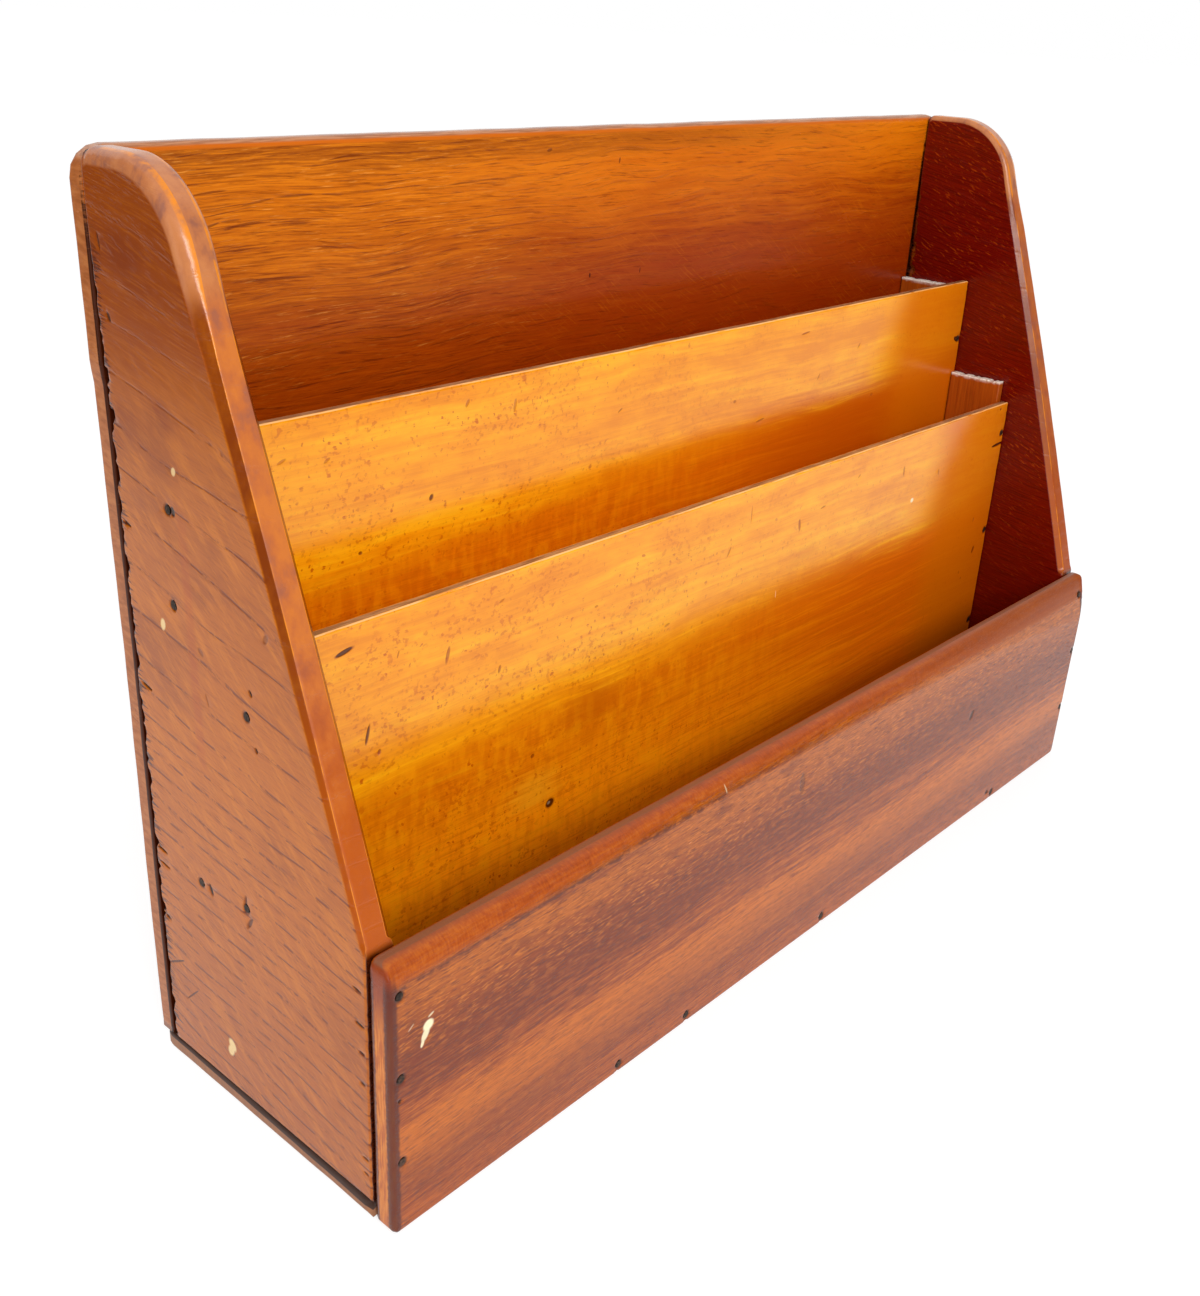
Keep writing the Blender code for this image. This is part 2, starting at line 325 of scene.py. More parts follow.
def rounded(corners, spacing):
    """A closed outline from corners of (u, v, radius), anticlockwise, with a point every so often."""
    turns = []
    for i, (u, v, radius) in enumerate(corners):
        corner = Vector((u, v))
        if not radius:
            turns.append(corner)
            continue
        back = (Vector(corners[i - 1][:2]) - corner).normalized()
        ahead = (Vector(corners[(i + 1) % len(corners)][:2]) - corner).normalized()
        half = back.angle(ahead) / 2
        centre = corner + (back + ahead).normalized() * (radius / math.sin(half))
        spoke = corner + back * (radius / math.tan(half)) - centre
        sweep = math.pi - 2 * half
        steps = max(4, round(radius * sweep / spacing))
        for step in range(steps + 1):
            turns.append(centre + Matrix.Rotation(sweep * step / steps, 2) @ spoke)
    points = []
    for start, end in zip(turns, turns[1:] + turns[:1]):
        count = max(1, round((end - start).length / spacing))
        points += [start.lerp(end, step / count) for step in range(count)]
    return points


def board_outline(span_u, span_v, upper_corner, spacing):
    """The outline of a board with square lower corners and rounded upper ones."""
    (u0, u1), (v0, v1) = span_u, span_v
    lower = [(u0, v0, 0), (u1, v0, 0)]
    return rounded(lower + [(u1, v1, upper_corner), (u0, v1, upper_corner)], spacing)


def outward(points):
    """The outward direction at each point of an anticlockwise outline."""
    found = []
    for i, point in enumerate(points):
        along = (points[(i + 1) % len(points)] - points[i - 1]).normalized()
        found.append(Vector((along.y, -along.x)))
    return found


def frayed(points, loss):
    """The outline with each point moved inwards by loss(point, outward direction)."""
    return [point - out * loss(point, out) for point, out in zip(points, outward(points))]


def rubbed_by(point, wear, length, seed):
    """How deep handling has rubbed an outline: about as much as wear, in waves of that length."""
    return wear + wear * noise.noise((point.x / length, point.y / length, seed))


def mark(u, v, length, width=None, angle=0, depth=0.15, dark=1.0, pale=0.0):
    """A dent, hole, stain or chip: an oval of that length and width in millimetres on a board's face."""
    return {
        "centre": np.array((u, v)),
        "half": np.array((length, width or length)) / 2,
        "turn": (math.cos(math.radians(angle)), math.sin(math.radians(angle))),
        "depth": depth,
        "dark": dark,
        "pale": pale,
    }


MARK_RINGS = (0.0, 0.45, 0.8, 1.2)
MARK_CORNERS = (10, 40)
MARK_CORNERS_PER_MM = 5


def mark_points(marks):
    """Points on rings in and round each mark, and the pairs of them that make up the rings."""
    points, pairs = [], []
    for one in marks:
        cos, sin = one["turn"]
        fewest, most = MARK_CORNERS
        corners = int(min(most, max(fewest, one["half"].sum() * MARK_CORNERS_PER_MM)))
        for ring in MARK_RINGS:
            first = len(points)
            for corner in range(corners if ring else 1):
                spoke = math.tau * corner / corners
                a, b = one["half"] * ring * (math.cos(spoke), math.sin(spoke))
                points.append(one["centre"] + (a * cos - b * sin, a * sin + b * cos))
                if ring:
                    pairs.append((first + corner, first + (corner + 1) % corners))
    return points, pairs


def mark_values(points, marks):
    """How deep, dark and pale the marks make each point."""
    values = np.zeros((len(points), 3))
    for one in marks:
        cos, sin = one["turn"]
        away = points - one["centre"]
        a = (away[:, 0] * cos + away[:, 1] * sin) / one["half"][0]
        b = (away[:, 1] * cos - away[:, 0] * sin) / one["half"][1]
        inside = np.clip((MARK_RINGS[-1] - np.hypot(a, b)) / (MARK_RINGS[-1] - MARK_RINGS[-2]), 0, 1)
        for i, kind in enumerate(("depth", "dark", "pale")):
            values[:, i] = np.maximum(values[:, i], one[kind] * inside)
    return values


def edge_cut(points, outline, arris, flatness, reach=1.6):
    """For each point of a face: how deep the softened edges cut it, how near it is to them, and its
    share of the way out over them."""
    start = np.array(outline)
    run = np.roll(start, -1, axis=0) - start
    away = points[:, None, :] - start
    share = np.clip((away * run).sum(2) / (run**2).sum(1), 0, 1)
    distance = np.linalg.norm(away - share[..., None] * run, axis=2)
    size = np.array(arris)
    width, depth = (size[:, i] + share * (np.roll(size[:, i], -1) - size[:, i]) for i in (0, 1))
    over = np.clip(1 - distance / width, 0, 1)
    flat = flatness(points)[:, None]
    cut = depth * ((1 - flat) * (1 - np.sqrt(1 - over**2)) + flat * over)
    near = np.clip(1 - (distance - width) / reach, 0, 1)
    return cut.max(1), near.max(1), over.max(1)


ROW_SHARES = (0.924, 0.707, 0.383, 0.08, 0.0)
ROW_STEPS = (0.2, 1.2, 3.0)
ROW_ROOM = 0.12
LATTICE_ROOM = 0.6
LATTICE_RISE = 0.866


def face_points(outline, arris, marks, spacing):
    """The points of one face: rows along its edges, its marks' rings, and a lattice between."""
    ring = np.array(outline)
    inward = -np.array(outward(outline))
    width = np.array(arris)[:, :1]
    rows = [ring + inward * width * (1 - share) for share in ROW_SHARES]
    rows += [ring + inward * (width + step) for step in ROW_STEPS]
    low, high = ring.min(0), ring.max(0)
    lattice = [
        np.array((u, v))
        for j, v in enumerate(np.arange(low[1] + spacing, high[1], spacing * LATTICE_RISE))
        for u in np.arange(low[0] + spacing * (1 + j % 2 / 2), high[0], spacing)
    ]
    scars, pairs = mark_points(marks)
    kept, cells = [], {}

    def add(point, room):
        across, up = int(point[0] // spacing), int(point[1] // spacing)
        near = (cells.get((across + i, up + j), ()) for i in (-1, 0, 1) for j in (-1, 0, 1))
        if room and any(np.hypot(*(other - point)) < room for group in near for other in group):
            return
        cells.setdefault((across, up), []).append(point)
        kept.append(point)

    for point in (*ring, *scars):
        add(point, 0)
    for point in np.concatenate(rows):
        add(point, ROW_ROOM)
    for point in lattice:
        add(point, spacing * LATTICE_ROOM)
    return kept, [(len(ring) + i, len(ring) + j) for i, j in pairs]


WALL_LEVELS = ((0.12, 1.5), (0.35, 2.0), (0.65, 2.0), (0.88, 1.5))
BOW_LENGTH, BOW_WIDTH, BOW_SEED = 60, 45, 7.3


def worn_board(
    name, outline, axes, span, arris, inner="high", marks=((), ()), bow=0.05, spacing=4.0,
    flatness=lambda points: np.zeros(len(points)),
):
    """A board with softened edges, shallow bows and marks in its faces.

    arris(point, out) gives the width and depth of the edge on the low face, and then on the high one,
    and flatness(points) is 0 where the edges are rounded and 1 where they are planed flat.
    The mesh's attributes tell the wood where its marks are, which face looks into the rack (inner), how
    near an edge is (arris), and how far over the edge a point lies: edge is 0 on a face, 1 on the
    outline and 2 in the middle of the board's thickness."""
    shape = bmesh.new()
    layers = {
        kind: shape.verts.layers.float.new(kind) for kind in ("arris", "edge", "inner", "dark", "pale")
    }
    rim = len(outline)
    sizes = np.array([arris(point, out) for point, out in zip(outline, outward(outline))])
    rims = []
    for face, side in enumerate((1, -1)):
        size = sizes[:, 2 * face : 2 * face + 2]
        flat, pairs = face_points(outline, size, marks[face], spacing)
        places, _, triangles, sources, _, within = geometry.delaunay_2d_cdt(
            [Vector(point) for point in flat], pairs, [list(range(rim))], 1, 1e-5, True
        )
        spots = np.array([tuple(place) for place in places])
        cut, near, over = edge_cut(spots, outline, size, flatness)
        scars = mark_values(spots, marks[face])
        facing_in = float(inner == ("low", "high")[face])
        verts, rim_verts = [], {}
        for i, (u, v) in enumerate(spots):
            wave = noise.noise((u / BOW_LENGTH, v / BOW_WIDTH, BOW_SEED * face + len(name)))
            w = span[face] + side * (cut[i] + scars[i][0] + bow * (0.5 + 0.5 * wave))
            vert = shape.verts.new((axes[0] * u + axes[1] * v + axes[2] * w) * MM)
            values = {"arris": near[i], "edge": over[i], "inner": facing_in}
            values["dark"], values["pale"] = scars[i][1:]
            for kind, value in values.items():
                vert[layers[kind]] = value
            verts.append(vert)
            rim_verts.update({source: vert for source in sources[i] if source < rim})
        for triangle, found in zip(triangles, within):
            if found:
                shape.faces.new([verts[i] for i in triangle])
        for loose in [vert for vert in verts if not vert.link_faces]:
            shape.verts.remove(loose)
        rims.append([rim_verts[i] for i in range(rim)])

    stack = [rims[0]]
    for level, edge in WALL_LEVELS:
        row = [shape.verts.new(low.co.lerp(high.co, level)) for low, high in zip(*rims)]
        for vert in row:
            vert[layers["arris"]] = 1.0
            vert[layers["edge"]] = edge
            vert[layers["inner"]] = 0.5
        stack.append(row)
    stack.append(rims[1])
    for one, other in zip(stack, stack[1:]):
        for i in range(rim):
            j = (i + 1) % rim
            shape.faces.new((one[i], one[j], other[j], other[i]))
    # A mark that runs out over the edge leaves a hairline gap between the face and the wall
    bmesh.ops.holes_fill(shape, edges=[edge for edge in shape.edges if edge.is_boundary])
    bmesh.ops.recalc_face_normals(shape, faces=shape.faces)
    mesh = bpy.data.meshes.new(name)
    shape.to_mesh(mesh)
    shape.free()
    mesh.shade_smooth()
    piece = put_in_scene(name, mesh)
    piece.modifiers.new("flat faces", "WEIGHTED_NORMAL")
    return piece


def stands_for(piece, node):
    """Hides a CAD node and puts a piece of the scene in its place, on the root body."""
    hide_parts(node)
    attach(piece, "root")


def wood_sketch(name, grain):
    """A new material with its Principled shader, and the wood's own space in millimetres.

    The letters of grain say which axes run along the grain, across it and through the board."""
    material, sketch, shader = new_material(name)
    parts = sketch.parts(sketch.add("ShaderNodeTexCoord").outputs["Object"])
    own = [sketch.times(parts["XYZ".index(letter)], 1 / MM) for letter in grain]
    return material, sketch, shader, sketch.joined(*own)


def finish_wood(sketch, shader, colour, roughness, height, relief, specular=0.5):
    """Connects a wood's colour, roughness and height to its shader. relief is the height in metres."""
    sketch.feed(shader.inputs["Base Color"], colour)
    sketch.feed(shader.inputs["Roughness"], roughness)
    shader.inputs["Specular IOR Level"].default_value = specular
    bump = sketch.add("ShaderNodeBump")
    bump.inputs["Strength"].default_value = 1.0
    bump.inputs["Distance"].default_value = relief
    sketch.feed(bump.inputs["Height"], height)
    sketch.feed(shader.inputs["Normal"], bump.outputs[0])


def new_group(name, inputs, output):
    """An empty node group: its tree, a sketch of it, its inputs, and its one output."""
    tree = bpy.data.node_groups.new(name, "ShaderNodeTree")
    tree.interface.new_socket("Vector", in_out="INPUT", socket_type="NodeSocketVector")
    for label, value in inputs.items():
        socket = tree.interface.new_socket(label, in_out="INPUT", socket_type="NodeSocketFloat")
        socket.default_value = value
    tree.interface.new_socket(output, in_out="OUTPUT", socket_type="NodeSocketFloat")
    sketch = Sketch(tree)
    return tree, sketch, sketch.add("NodeGroupInput").outputs, sketch.add("NodeGroupOutput").inputs[0]


# Fine fibres, stretched along the grain or at an angle to it, which waver a little
fibres, s, given, result = new_group(
    "fibres", {"Length": 30.0, "Width": 0.6, "Angle": 0.0, "Waver": 1.5, "Seed": 0.0}, "Value"
)
x, y, z = s.parts(given["Vector"])
drift = s.noise(given["Vector"], 45.0, 18.0, 18.0, detail=1.0)
y = s.wander(y, (drift, s.times(given["Waver"], 2.0)))
turn = s.math("RADIANS", given["Angle"])
cosine, sine = s.math("COSINE", turn), s.math("SINE", turn)
along = s.scaled(x, cosine, s.times(y, sine))
across = s.minus(s.times(y, cosine), s.times(x, sine))
spot = s.joined(
    s.math("ADD", s.over(along, given["Length"]), given["Seed"]),
    s.over(across, given["Width"]),
    s.over(z, s.times(given["Width"], 3.0)),
)
s.feed(result, s.noise(spot, detail=5.0, roughness=0.62))

span_x, span_y, base_span = node_span("base_board", LYING)


def base_arris(point, out):
    toward_front = held((span_y[1] - point.y) / (span_y[1] - span_y[0]))
    left = max(0.0, -out.x) ** 2
    worn = base_edge + (base_left_wear - base_edge) * left * toward_front
    return base_edge, base_edge, worn, worn


base = worn_board(
    "base",
    frayed(
        board_outline(span_x, span_y, base_corner, spacing=3.0),
        lambda point, out: rubbed_by(point, base_wear, length=9, seed=1.0),
    ),
    LYING,
    base_span,
    base_arris,
    spacing=9.0,
)
stands_for(base, "base_board")

wood, s, shader, mm = wood_sketch("plain base wood", "XYZ")
x, y, z = s.parts(mm)
streaks = s.use(fibres, mm, length=26.0, width=0.9, waver=2.0)
cloud = s.noise(mm, 30.0, 14.0, 5.0, detail=3.0)
patches = s.noise(mm, 6.0, 6.0, 6.0, detail=3.0, roughness=0.6)
rubbed = s.step(s.wander(s.attribute("arris"), (patches, 0.9)), 0.35, 0.70)
# Under the side at the left end the top face is painted almost black: painted shade in the open joint
open_joint_shade = s.times(s.step(s.attribute("inner"), 0.55, 0.8), s.step(x, -160.0, -162.0))
colour = s.shades(streaks, 0.15, (0.15, 0.045, 0.012), (0.28, 0.095, 0.03), (0.38, 0.15, 0.05))
colour = s.mix(s.step(cloud, 0.45, 0.75), colour, (0.12, 0.04, 0.018))
colour = s.tint(colour, (rubbed, 0.5, (0.42, 0.17, 0.07)), (open_joint_shade, 0.95, (0.035, 0.010, 0.004)))
finish_wood(s, shader, colour, s.scaled(streaks, 0.25, 0.36), streaks, relief=0.00005)
base.data.materials.append(wood)


# The two sides
# Oak boards with the grain running from front to back. The front edge slopes back to a large rounded
# corner, its outer arris is planed off, less so lower down, and the rear edge is torn.
side_head = 27.6
side_corner = 23.0
side_rear_corner = 1.5
side_wear = 0.10
slope_bow = 0.8
joint_wear = 0.12
front_joint_tear = 0.55
tear_wear = 0.70
tear_teeth = 2.2
tooth_lengths = (1.1, 3.7)
front_tooth_length = 2.1
torn_from = 208.0
torn_fully_after = 40
side_arris = (2.2, 1.7)
side_arc_arris = (3.6, 3.0)
side_inner_arris = (1.7, 1.6)
side_low_arris = (0.5, 0.5)
slim_below = 190
slimmest_after = 100
slimmed_by = 0.5
chamfer_end = (204.0, 188.0)
ENDWISE = (Y, Z, X)
front_top = node_span("front_board", ENDWISE)[1][1]


def rough(*place):
    """A smooth noise that is never below 0."""
    return max(0.0, noise.noise(place))


def pin_marks(prefix, axes, size=2.9, depth=0.3, dark=0.85):
    """A dark pit round the head of each pin whose name begins so."""
    found = []
    for name in sorted(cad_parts):
        if name.startswith(prefix):
            (u0, u1), (v0, v1), _ = node_span(name, axes)
            found.append(mark((u0 + u1) / 2, (v0 + v1) / 2, size, size * 0.85, 60, depth, dark))
    return found


def side_outline(node):
    (y0, y1), (z0, z1), _ = node_span(node, ENDWISE)
    slope_top = z1 - side_corner
    lower = [(y0, z0, 0), (y1, z0, 0)]
    upper = [(y1, z1, side_rear_corner), (y1 - side_head, z1, side_corner), (y0, front_top, 0)]

    def loss(point, out):
        if out.x > 0.9:
            below = held((torn_from - point.y) / torn_fully_after)
            short, long = tooth_lengths
            teeth = rough(point.y / short, 5.0, 0.0) + rough(point.y / long, 2.0, 0.0)
            return joint_wear + below * (tear_wear + tear_teeth * teeth)
        if out.x < -0.9 and point.y < front_top:
            return joint_wear + front_joint_tear * rough(point.y / front_tooth_length, 9.0, 0.0)
        wear = rubbed_by(point, side_wear, length=14, seed=3.0)
        if front_top < point.y < slope_top:
            wear -= slope_bow * math.sin(math.pi * (point.y - front_top) / (slope_top - front_top))
        return wear

    return frayed(rounded(lower + upper, 1.0), loss)


def toward_chamfer_end(height):
    return (height - chamfer_end[1]) / (chamfer_end[0] - chamfer_end[1])


def side_edges(hand):
    """The edge sizes of one side. A left side's low face is its outer one, a right side's its inner."""

    def arris(point, out):
        upper = float(point.y > front_top + 1 and out.x < 0.9)
        arc = held(toward_chamfer_end(point.y))
        slim = 1 - slimmed_by * held((slim_below - point.y) / slimmest_after)
        size = [(low + arc * (high - low)) * slim for low, high in zip(side_arris, side_arc_arris)]
        outer = [low + upper * (high - low) for high, low in zip(size, side_low_arris)]
        inside = [low + upper * (size - low) for size, low in zip(side_inner_arris, side_low_arris)]
        return (*outer, *inside) if hand == "left" else (*inside, *outer)

    return arris


left_marks = [
    mark(19.2, 153.5, 2.3, 1.7, 70, 0.2, 0.95),
    mark(22.2, 131.7, 2.4, 1.6, 60, 0.2, 1.0),
    mark(17.1, 61.8, 3.2, 1.3, 70, 0.3, 1.0),
    mark(-4.3, 120.6, 1.7, 1.1, 60, 0.4, 1.0),
    mark(-2.7, 114.9, 1.5, 1.1, 60, 0.4, 1.0),
    mark(-5.1, 107.6, 1.4, 1.0, 60, 0.4, 1.0),
    mark(3.4, 64.4, 5.6, 1.2, 100, 0.45, 0.75),
    mark(2.2, 60.0, 4.4, 1.2, 122, 0.45, 0.75),
    mark(17.5, 162.4, 1.9, 1.5, 110, 0.05, 0.0, 0.8),
    mark(27.0, 125.9, 2.8, 1.8, 100, 0.05, 0.0, 0.9),
    mark(13.6, 18.0, 3.6, 2.6, 60, 0.08, 0.0, 1.0),
    mark(14.3, 16.0, 3.4, 2.4, 110, 0.08, 0.0, 1.0),
    mark(-10.8, 134.9, 2.6, 1.5, 120, 0.15, 0.55),
    mark(13.0, 124.0, 2.4, 1.4, 40, 0.08, 0.5),
    mark(12.0, 113.0, 3.4, 0.6, 70, 0.1, 0.45),
    mark(36.4, 107.5, 4.6, 0.9, 12, 0.35, 0.95),
    mark(37.0, 63.5, 4.2, 0.9, 10, 0.35, 0.95),
    mark(36.6, 59.4, 4.6, 0.7, 8, 0.35, 0.9),
    mark(38.0, 43.7, 3.2, 1.1, 14, 0.35, 0.95),
    mark(36.0, 31.0, 9.5, 0.6, 150, 0.25, 0.8),
    mark(30.0, 24.0, 8.5, 0.5, 135, 0.25, 0.75),
    mark(-36.0, 63.2, 3.0, 0.8, 8, 0.3, 0.9),
    mark(-36.6, 54.3, 3.4, 0.9, 5, 0.3, 0.95),
    mark(-37.0, 46.8, 2.0, 0.8, 5, 0.3, 0.9),
    mark(-37.0, 38.3, 1.8, 0.9, 5, 0.3, 0.9),
    mark(-37.2, 16.8, 2.2, 0.8, 5, 0.3, 0.95),
    mark(-37.2, 12.4, 1.8, 0.7, 5, 0.3, 0.9),
    mark(37.5, 204.6, 3.6, 0.8, 80, 0.2, 0.8),
    mark(36.5, 190.0, 2.2, 1.2, 60, 0.2, 0.85),
    mark(37.5, 146.0, 3.0, 0.8, 15, 0.3, 0.9),
]
right_marks = [
    mark(11.0, 171.0, 2.2, 1.5, 70, 0.2, 0.9),
    mark(-8.0, 96.0, 2.6, 1.2, 50, 0.2, 0.9),
    mark(24.0, 44.0, 3.4, 1.0, 110, 0.25, 0.8),
    mark(-14.0, 31.0, 2.6, 1.8, 95, 0.06, 0.0, 1.0),
    mark(30.0, 140.0, 2.0, 1.3, 80, 0.06, 0.0, 1.0),
]
sides = {}
for hand, marks in (("left", left_marks), ("right", right_marks)):
    node = f"side_{hand}"
    for end in ("front", "rear"):
        marks = marks + pin_marks(f"pin_strip_{end}_{hand}", ENDWISE)
    sides[hand] = worn_board(
        f"oak_side_{hand}",
        side_outline(node),
        ENDWISE,
        node_span(node, ENDWISE)[2],
        side_edges(hand),
        inner="high" if hand == "left" else "low",
        marks=(marks, ()) if hand == "left" else ((), marks),
        flatness=lambda points: np.clip(1 - toward_chamfer_end(points[:, 1]), 0, 1),
    )
    stands_for(sides[hand], node)

# The tear goes only half through: behind it each side still reaches the back and the front board
side_touch = 0.05
tear_reach = 4.5
over_the_edge = 0.99
foot_room, front_room, back_room = 1, 1, 2
_, (side_foot, side_top), side_width = node_span("side_right", ENDWISE)
reaches = (
    (node_span("back_board", ENDWISE)[0][0] - side_touch, side_top - back_room),
    (node_span("front_board", ENDWISE)[0][1] + side_touch, front_top - front_room),
)
for side in sides.values():
    for corner, edge in zip(side.data.vertices, side.data.attributes["edge"].data):
        x, y, z = corner.co / MM
        on_inner_half = edge.value > over_the_edge and abs(x) < sum(side_width) / 2
        for reach, highest in reaches:
            if on_inner_half and abs(y - reach) < tear_reach and side_foot + foot_room < z < highest:
                corner.co.y = reach * MM

# Separate strokes: the fibres that stand out above a level
strokes, s, given, result = new_group(
    "strokes",
    {"Length": 8.0, "Width": 0.8, "Angle": 0.0, "Waver": 0.0, "Above": 0.6, "Soft": 0.06, "Seed": 0.0},
    "Mask",
)
passed_on = {name: given[name.capitalize()] for name in ("length", "width", "angle", "waver", "seed")}
value = s.use(fibres, given["Vector"], **passed_on)
s.feed(result, s.step(value, given["Above"], s.math("ADD", given["Above"], given["Soft"])))

wood, s, shader, mm = wood_sketch("polished oak", "YZX")
y, z, x = s.parts(mm)
# The growth rings: level lines low down, which dip towards the front and spread out higher up
level = s.minus(z, s.times(y, s.scaled(s.step(z, 55.0, 150.0), 0.11, 0.10)))
level = s.wander(
    level, (s.noise(mm, 70.0, 16.0, 40.0, detail=1.0), 9.0), (s.noise(mm, 12.0, 5.0, 9.0), 0.45)
)
ring_gap = s.scaled(s.step(level, 84.0, 112.0), 6.4, 4.0)
row = s.math("SMOOTH_MIN", s.over(level, 4.0), s.scaled(level, 1 / 10.4, 15.1), 2.0)
off_ring = s.times(s.math("ABSOLUTE", s.minus(s.math("FRACT", row), 0.5)), ring_gap)
sloping = s.joined(y, level, x)
# The rings show as broken rows of pores, with shorter ones scattered between them
broken = s.use(strokes, sloping, length=5.0, width=4.0, above=0.46, soft=0.08, seed=2.0)
rows = s.times(s.step(off_ring, 0.40, 0.12), broken)
dashes = s.use(strokes, sloping, length=4.5, width=0.34, angle=6.0, above=0.54, soft=0.07)
dashes = s.times(dashes, s.step(off_ring, 1.3, 0.2))
strays = s.use(strokes, sloping, length=4.0, width=0.34, angle=5.0, above=0.59, soft=0.08, seed=4.0)
pores = s.most(rows, s.times(dashes, 0.7), s.times(strays, 0.4))
streaks = s.use(fibres, sloping, length=11.0, width=0.4, waver=0.5)
rays = s.use(strokes, mm, length=20.0, width=3.4, angle=42.0, waver=3.0, above=0.47, soft=0.20)
fine_rays = s.use(strokes, mm, length=7.0, width=0.8, angle=40.0, waver=1.0, above=0.5, soft=0.16, seed=3.0)
cloud = s.noise(mm, 34.0, 20.0, 30.0, detail=4.0)
# Outside, the wood is painted darker towards the top and blotched more there: painted shade where the
# polish mirrors no white floor
outside = s.colours(
    s.over(s.wander(z, (cloud, 30.0)), 222.0),
    (0.05, (0.44, 0.100, 0.002)),
    (0.40, (0.52, 0.130, 0.002)),
    (0.62, (0.47, 0.114, 0.002)),
    (0.74, (0.46, 0.112, 0.001)),
    (0.84, (0.32, 0.060, 0.0003)),
    (0.95, (0.29, 0.052, 0.0002)),
)
low_side = s.step(z, 196.0, 150.0)
stain = s.times(s.between(y, 14.6, 17.6, 0.8), s.between(z, 96.0, 152.0, 6.0))
outside = s.tint(
    outside,
    (s.step(cloud, 0.48, 0.66), s.scaled(low_side, -0.30, 0.62), (0.20, 0.026, 0.0005)),
    (s.step(streaks, 0.50, 0.38), 0.20, (0.64, 0.17, 0.002)),
    (s.step(streaks, 0.52, 0.64), 0.30, (0.26, 0.040, 0.001)),
    (s.times(rays, low_side), 0.42, (0.70, 0.20, 0.003)),
    (s.times(fine_rays, low_side), 0.32, (0.70, 0.21, 0.004)),
    (pores, s.scaled(low_side, 0.52, 0.32), (0.17, 0.025, 0.0)),
    (s.times(stain, s.step(streaks, 0.3, 0.6)), 0.45, (0.42, 0.060, 0.001)),
)
inside = s.shades(streaks, 0.12, (0.10, 0.0008, 0.0), (0.14, 0.0020, 0.0), (0.18, 0.0040, 0.0))
golden = s.use(strokes, mm, length=3.5, width=0.7, angle=24.0, waver=1.0, above=0.56, soft=0.12, seed=8.0)
freckled = s.times(s.step(cloud, 0.36, 0.56), s.step(z, 78.0, 96.0))
inside = s.tint(inside, (golden, s.scaled(freckled, 0.50, 0.20), (0.40, 0.045, 0.0)))
colour = s.mix(s.step(s.attribute("inner"), 0.55, 0.9), outside, inside)
# The front edge: a dark chamfer, a broken bright line where it was rubbed, and the edge itself
edge = s.attribute("edge")
patches = s.noise(mm, 5.0, 11.0, 6.0, detail=4.0, roughness=0.6)
lower_edge = s.step(s.wander(z, (patches, 70.0)), 142.0, 92.0)
high_up = s.step(z, 194.0, 203.0)
# High up on the arc the edge is painted tan-mauve: wear, and a painted sheen
arc = s.colours(
    patches, (0.36, (0.32, 0.110, 0.060)), (0.46, (0.47, 0.155, 0.055)), (0.60, (0.55, 0.195, 0.065))
)
facet = s.colours(
    patches, (0.36, (0.38, 0.115, 0.055)), (0.48, (0.52, 0.140, 0.035)), (0.62, (0.60, 0.170, 0.030))
)
facet = s.tint(
    facet, (lower_edge, 0.85, (0.46, 0.080, 0.0)), (s.step(x, 0.0, 10.0), 0.40, (0.28, 0.036, 0.001))
)
facet = s.mix(high_up, facet, arc)
chamfer = s.colours(
    patches, (0.40, (0.21, 0.034, 0.0)), (0.55, (0.27, 0.052, 0.0)), (0.68, (0.34, 0.074, 0.0))
)
chamfer = s.mix(high_up, s.tint(chamfer, (lower_edge, 0.60, (0.50, 0.090, 0.0002))), arc)
line = s.mix(s.step(patches, 0.40, 0.56), facet, (0.76, 0.23, 0.010))
edge_wood = s.mix(s.step(edge, 0.88, 0.97), chamfer, line)
edge_wood = s.mix(s.step(edge, 1.0, 1.12), edge_wood, facet)
on_front = s.times(s.step(z, 72.0, 74.5), s.step(y, 40.9, 39.6))
# The edges hidden in the joints are painted almost black: painted shade in the gaps
joint_edge_shade = s.mix(s.step(streaks, 0.4, 0.6), (0.025, 0.003, 0.0), (0.080, 0.011, 0.001))
other_edges = s.mix(s.step(edge, 0.45, 0.9), colour, joint_edge_shade)
colour = s.mix(s.step(edge, 0.0, 0.22), colour, s.mix(on_front, other_edges, edge_wood))
# The torn rear edge: dark notches of many lengths that run into the face along the grain, painted shade of
# the gap behind the tear
torn = s.times(s.step(z, 212.0, 196.0), s.minus(1.0, s.step(s.attribute("inner"), 0.4, 0.6)))
notches = s.noise(s.joined(s.over(y, 7.0), s.over(level, 0.6), 3.0), detail=3.0)
notch_shade = s.step(s.wander(y, (notches, 20.0)), 39.2, 40.6)
colour = s.tint(colour, (s.times(notch_shade, torn), 0.90, (0.070, 0.007, 0.0)))
blot = s.attribute("dark")
colour = s.mix(blot, colour, s.mix(s.step(blot, 0.6, 0.9), (0.12, 0.018, 0.002), (0.030, 0.014, 0.009)))
colour = s.mix(s.attribute("pale"), colour, (0.92, 0.66, 0.30))
height = s.minus(s.times(streaks, 0.8), pores)
finish_wood(s, shader, colour, s.scaled(cloud, 0.12, 0.17), height, relief=0.00003, specular=0.38)
for side in sides.values():
    side.data.materials.append(wood)


# The back board
# One wide oak board with the grain along the rack, nailed over the rear edges of the sides. Its front
# shows above the dividers: bright orange along the top, and red-brown and streaked lower down.
back_corner = 6.5
back_wear = 0.12
back_end_wear = 0.45
back_step = (178, 2)
back_end_worn = (40, 60)
back_edge = 0.5
back_top_more = (1.6, 1.2, 0.6, 0.6)
ACROSS = (X, Z, Y)
span_x, span_z, back_span = node_span("back_board", ACROSS)


def back_loss(point, out):
    wear = rubbed_by(point, back_wear, length=12, seed=8.0)
    if out.x < -0.9:
        below_step = held((back_step[0] - point.y) / back_step[1])
        wear += back_end_wear * below_step * held((point.y - back_end_worn[0]) / back_end_worn[1])
    return wear


def back_arris(point, out):
    return [back_edge + more * max(0.0, out.y) ** 2 for more in back_top_more]


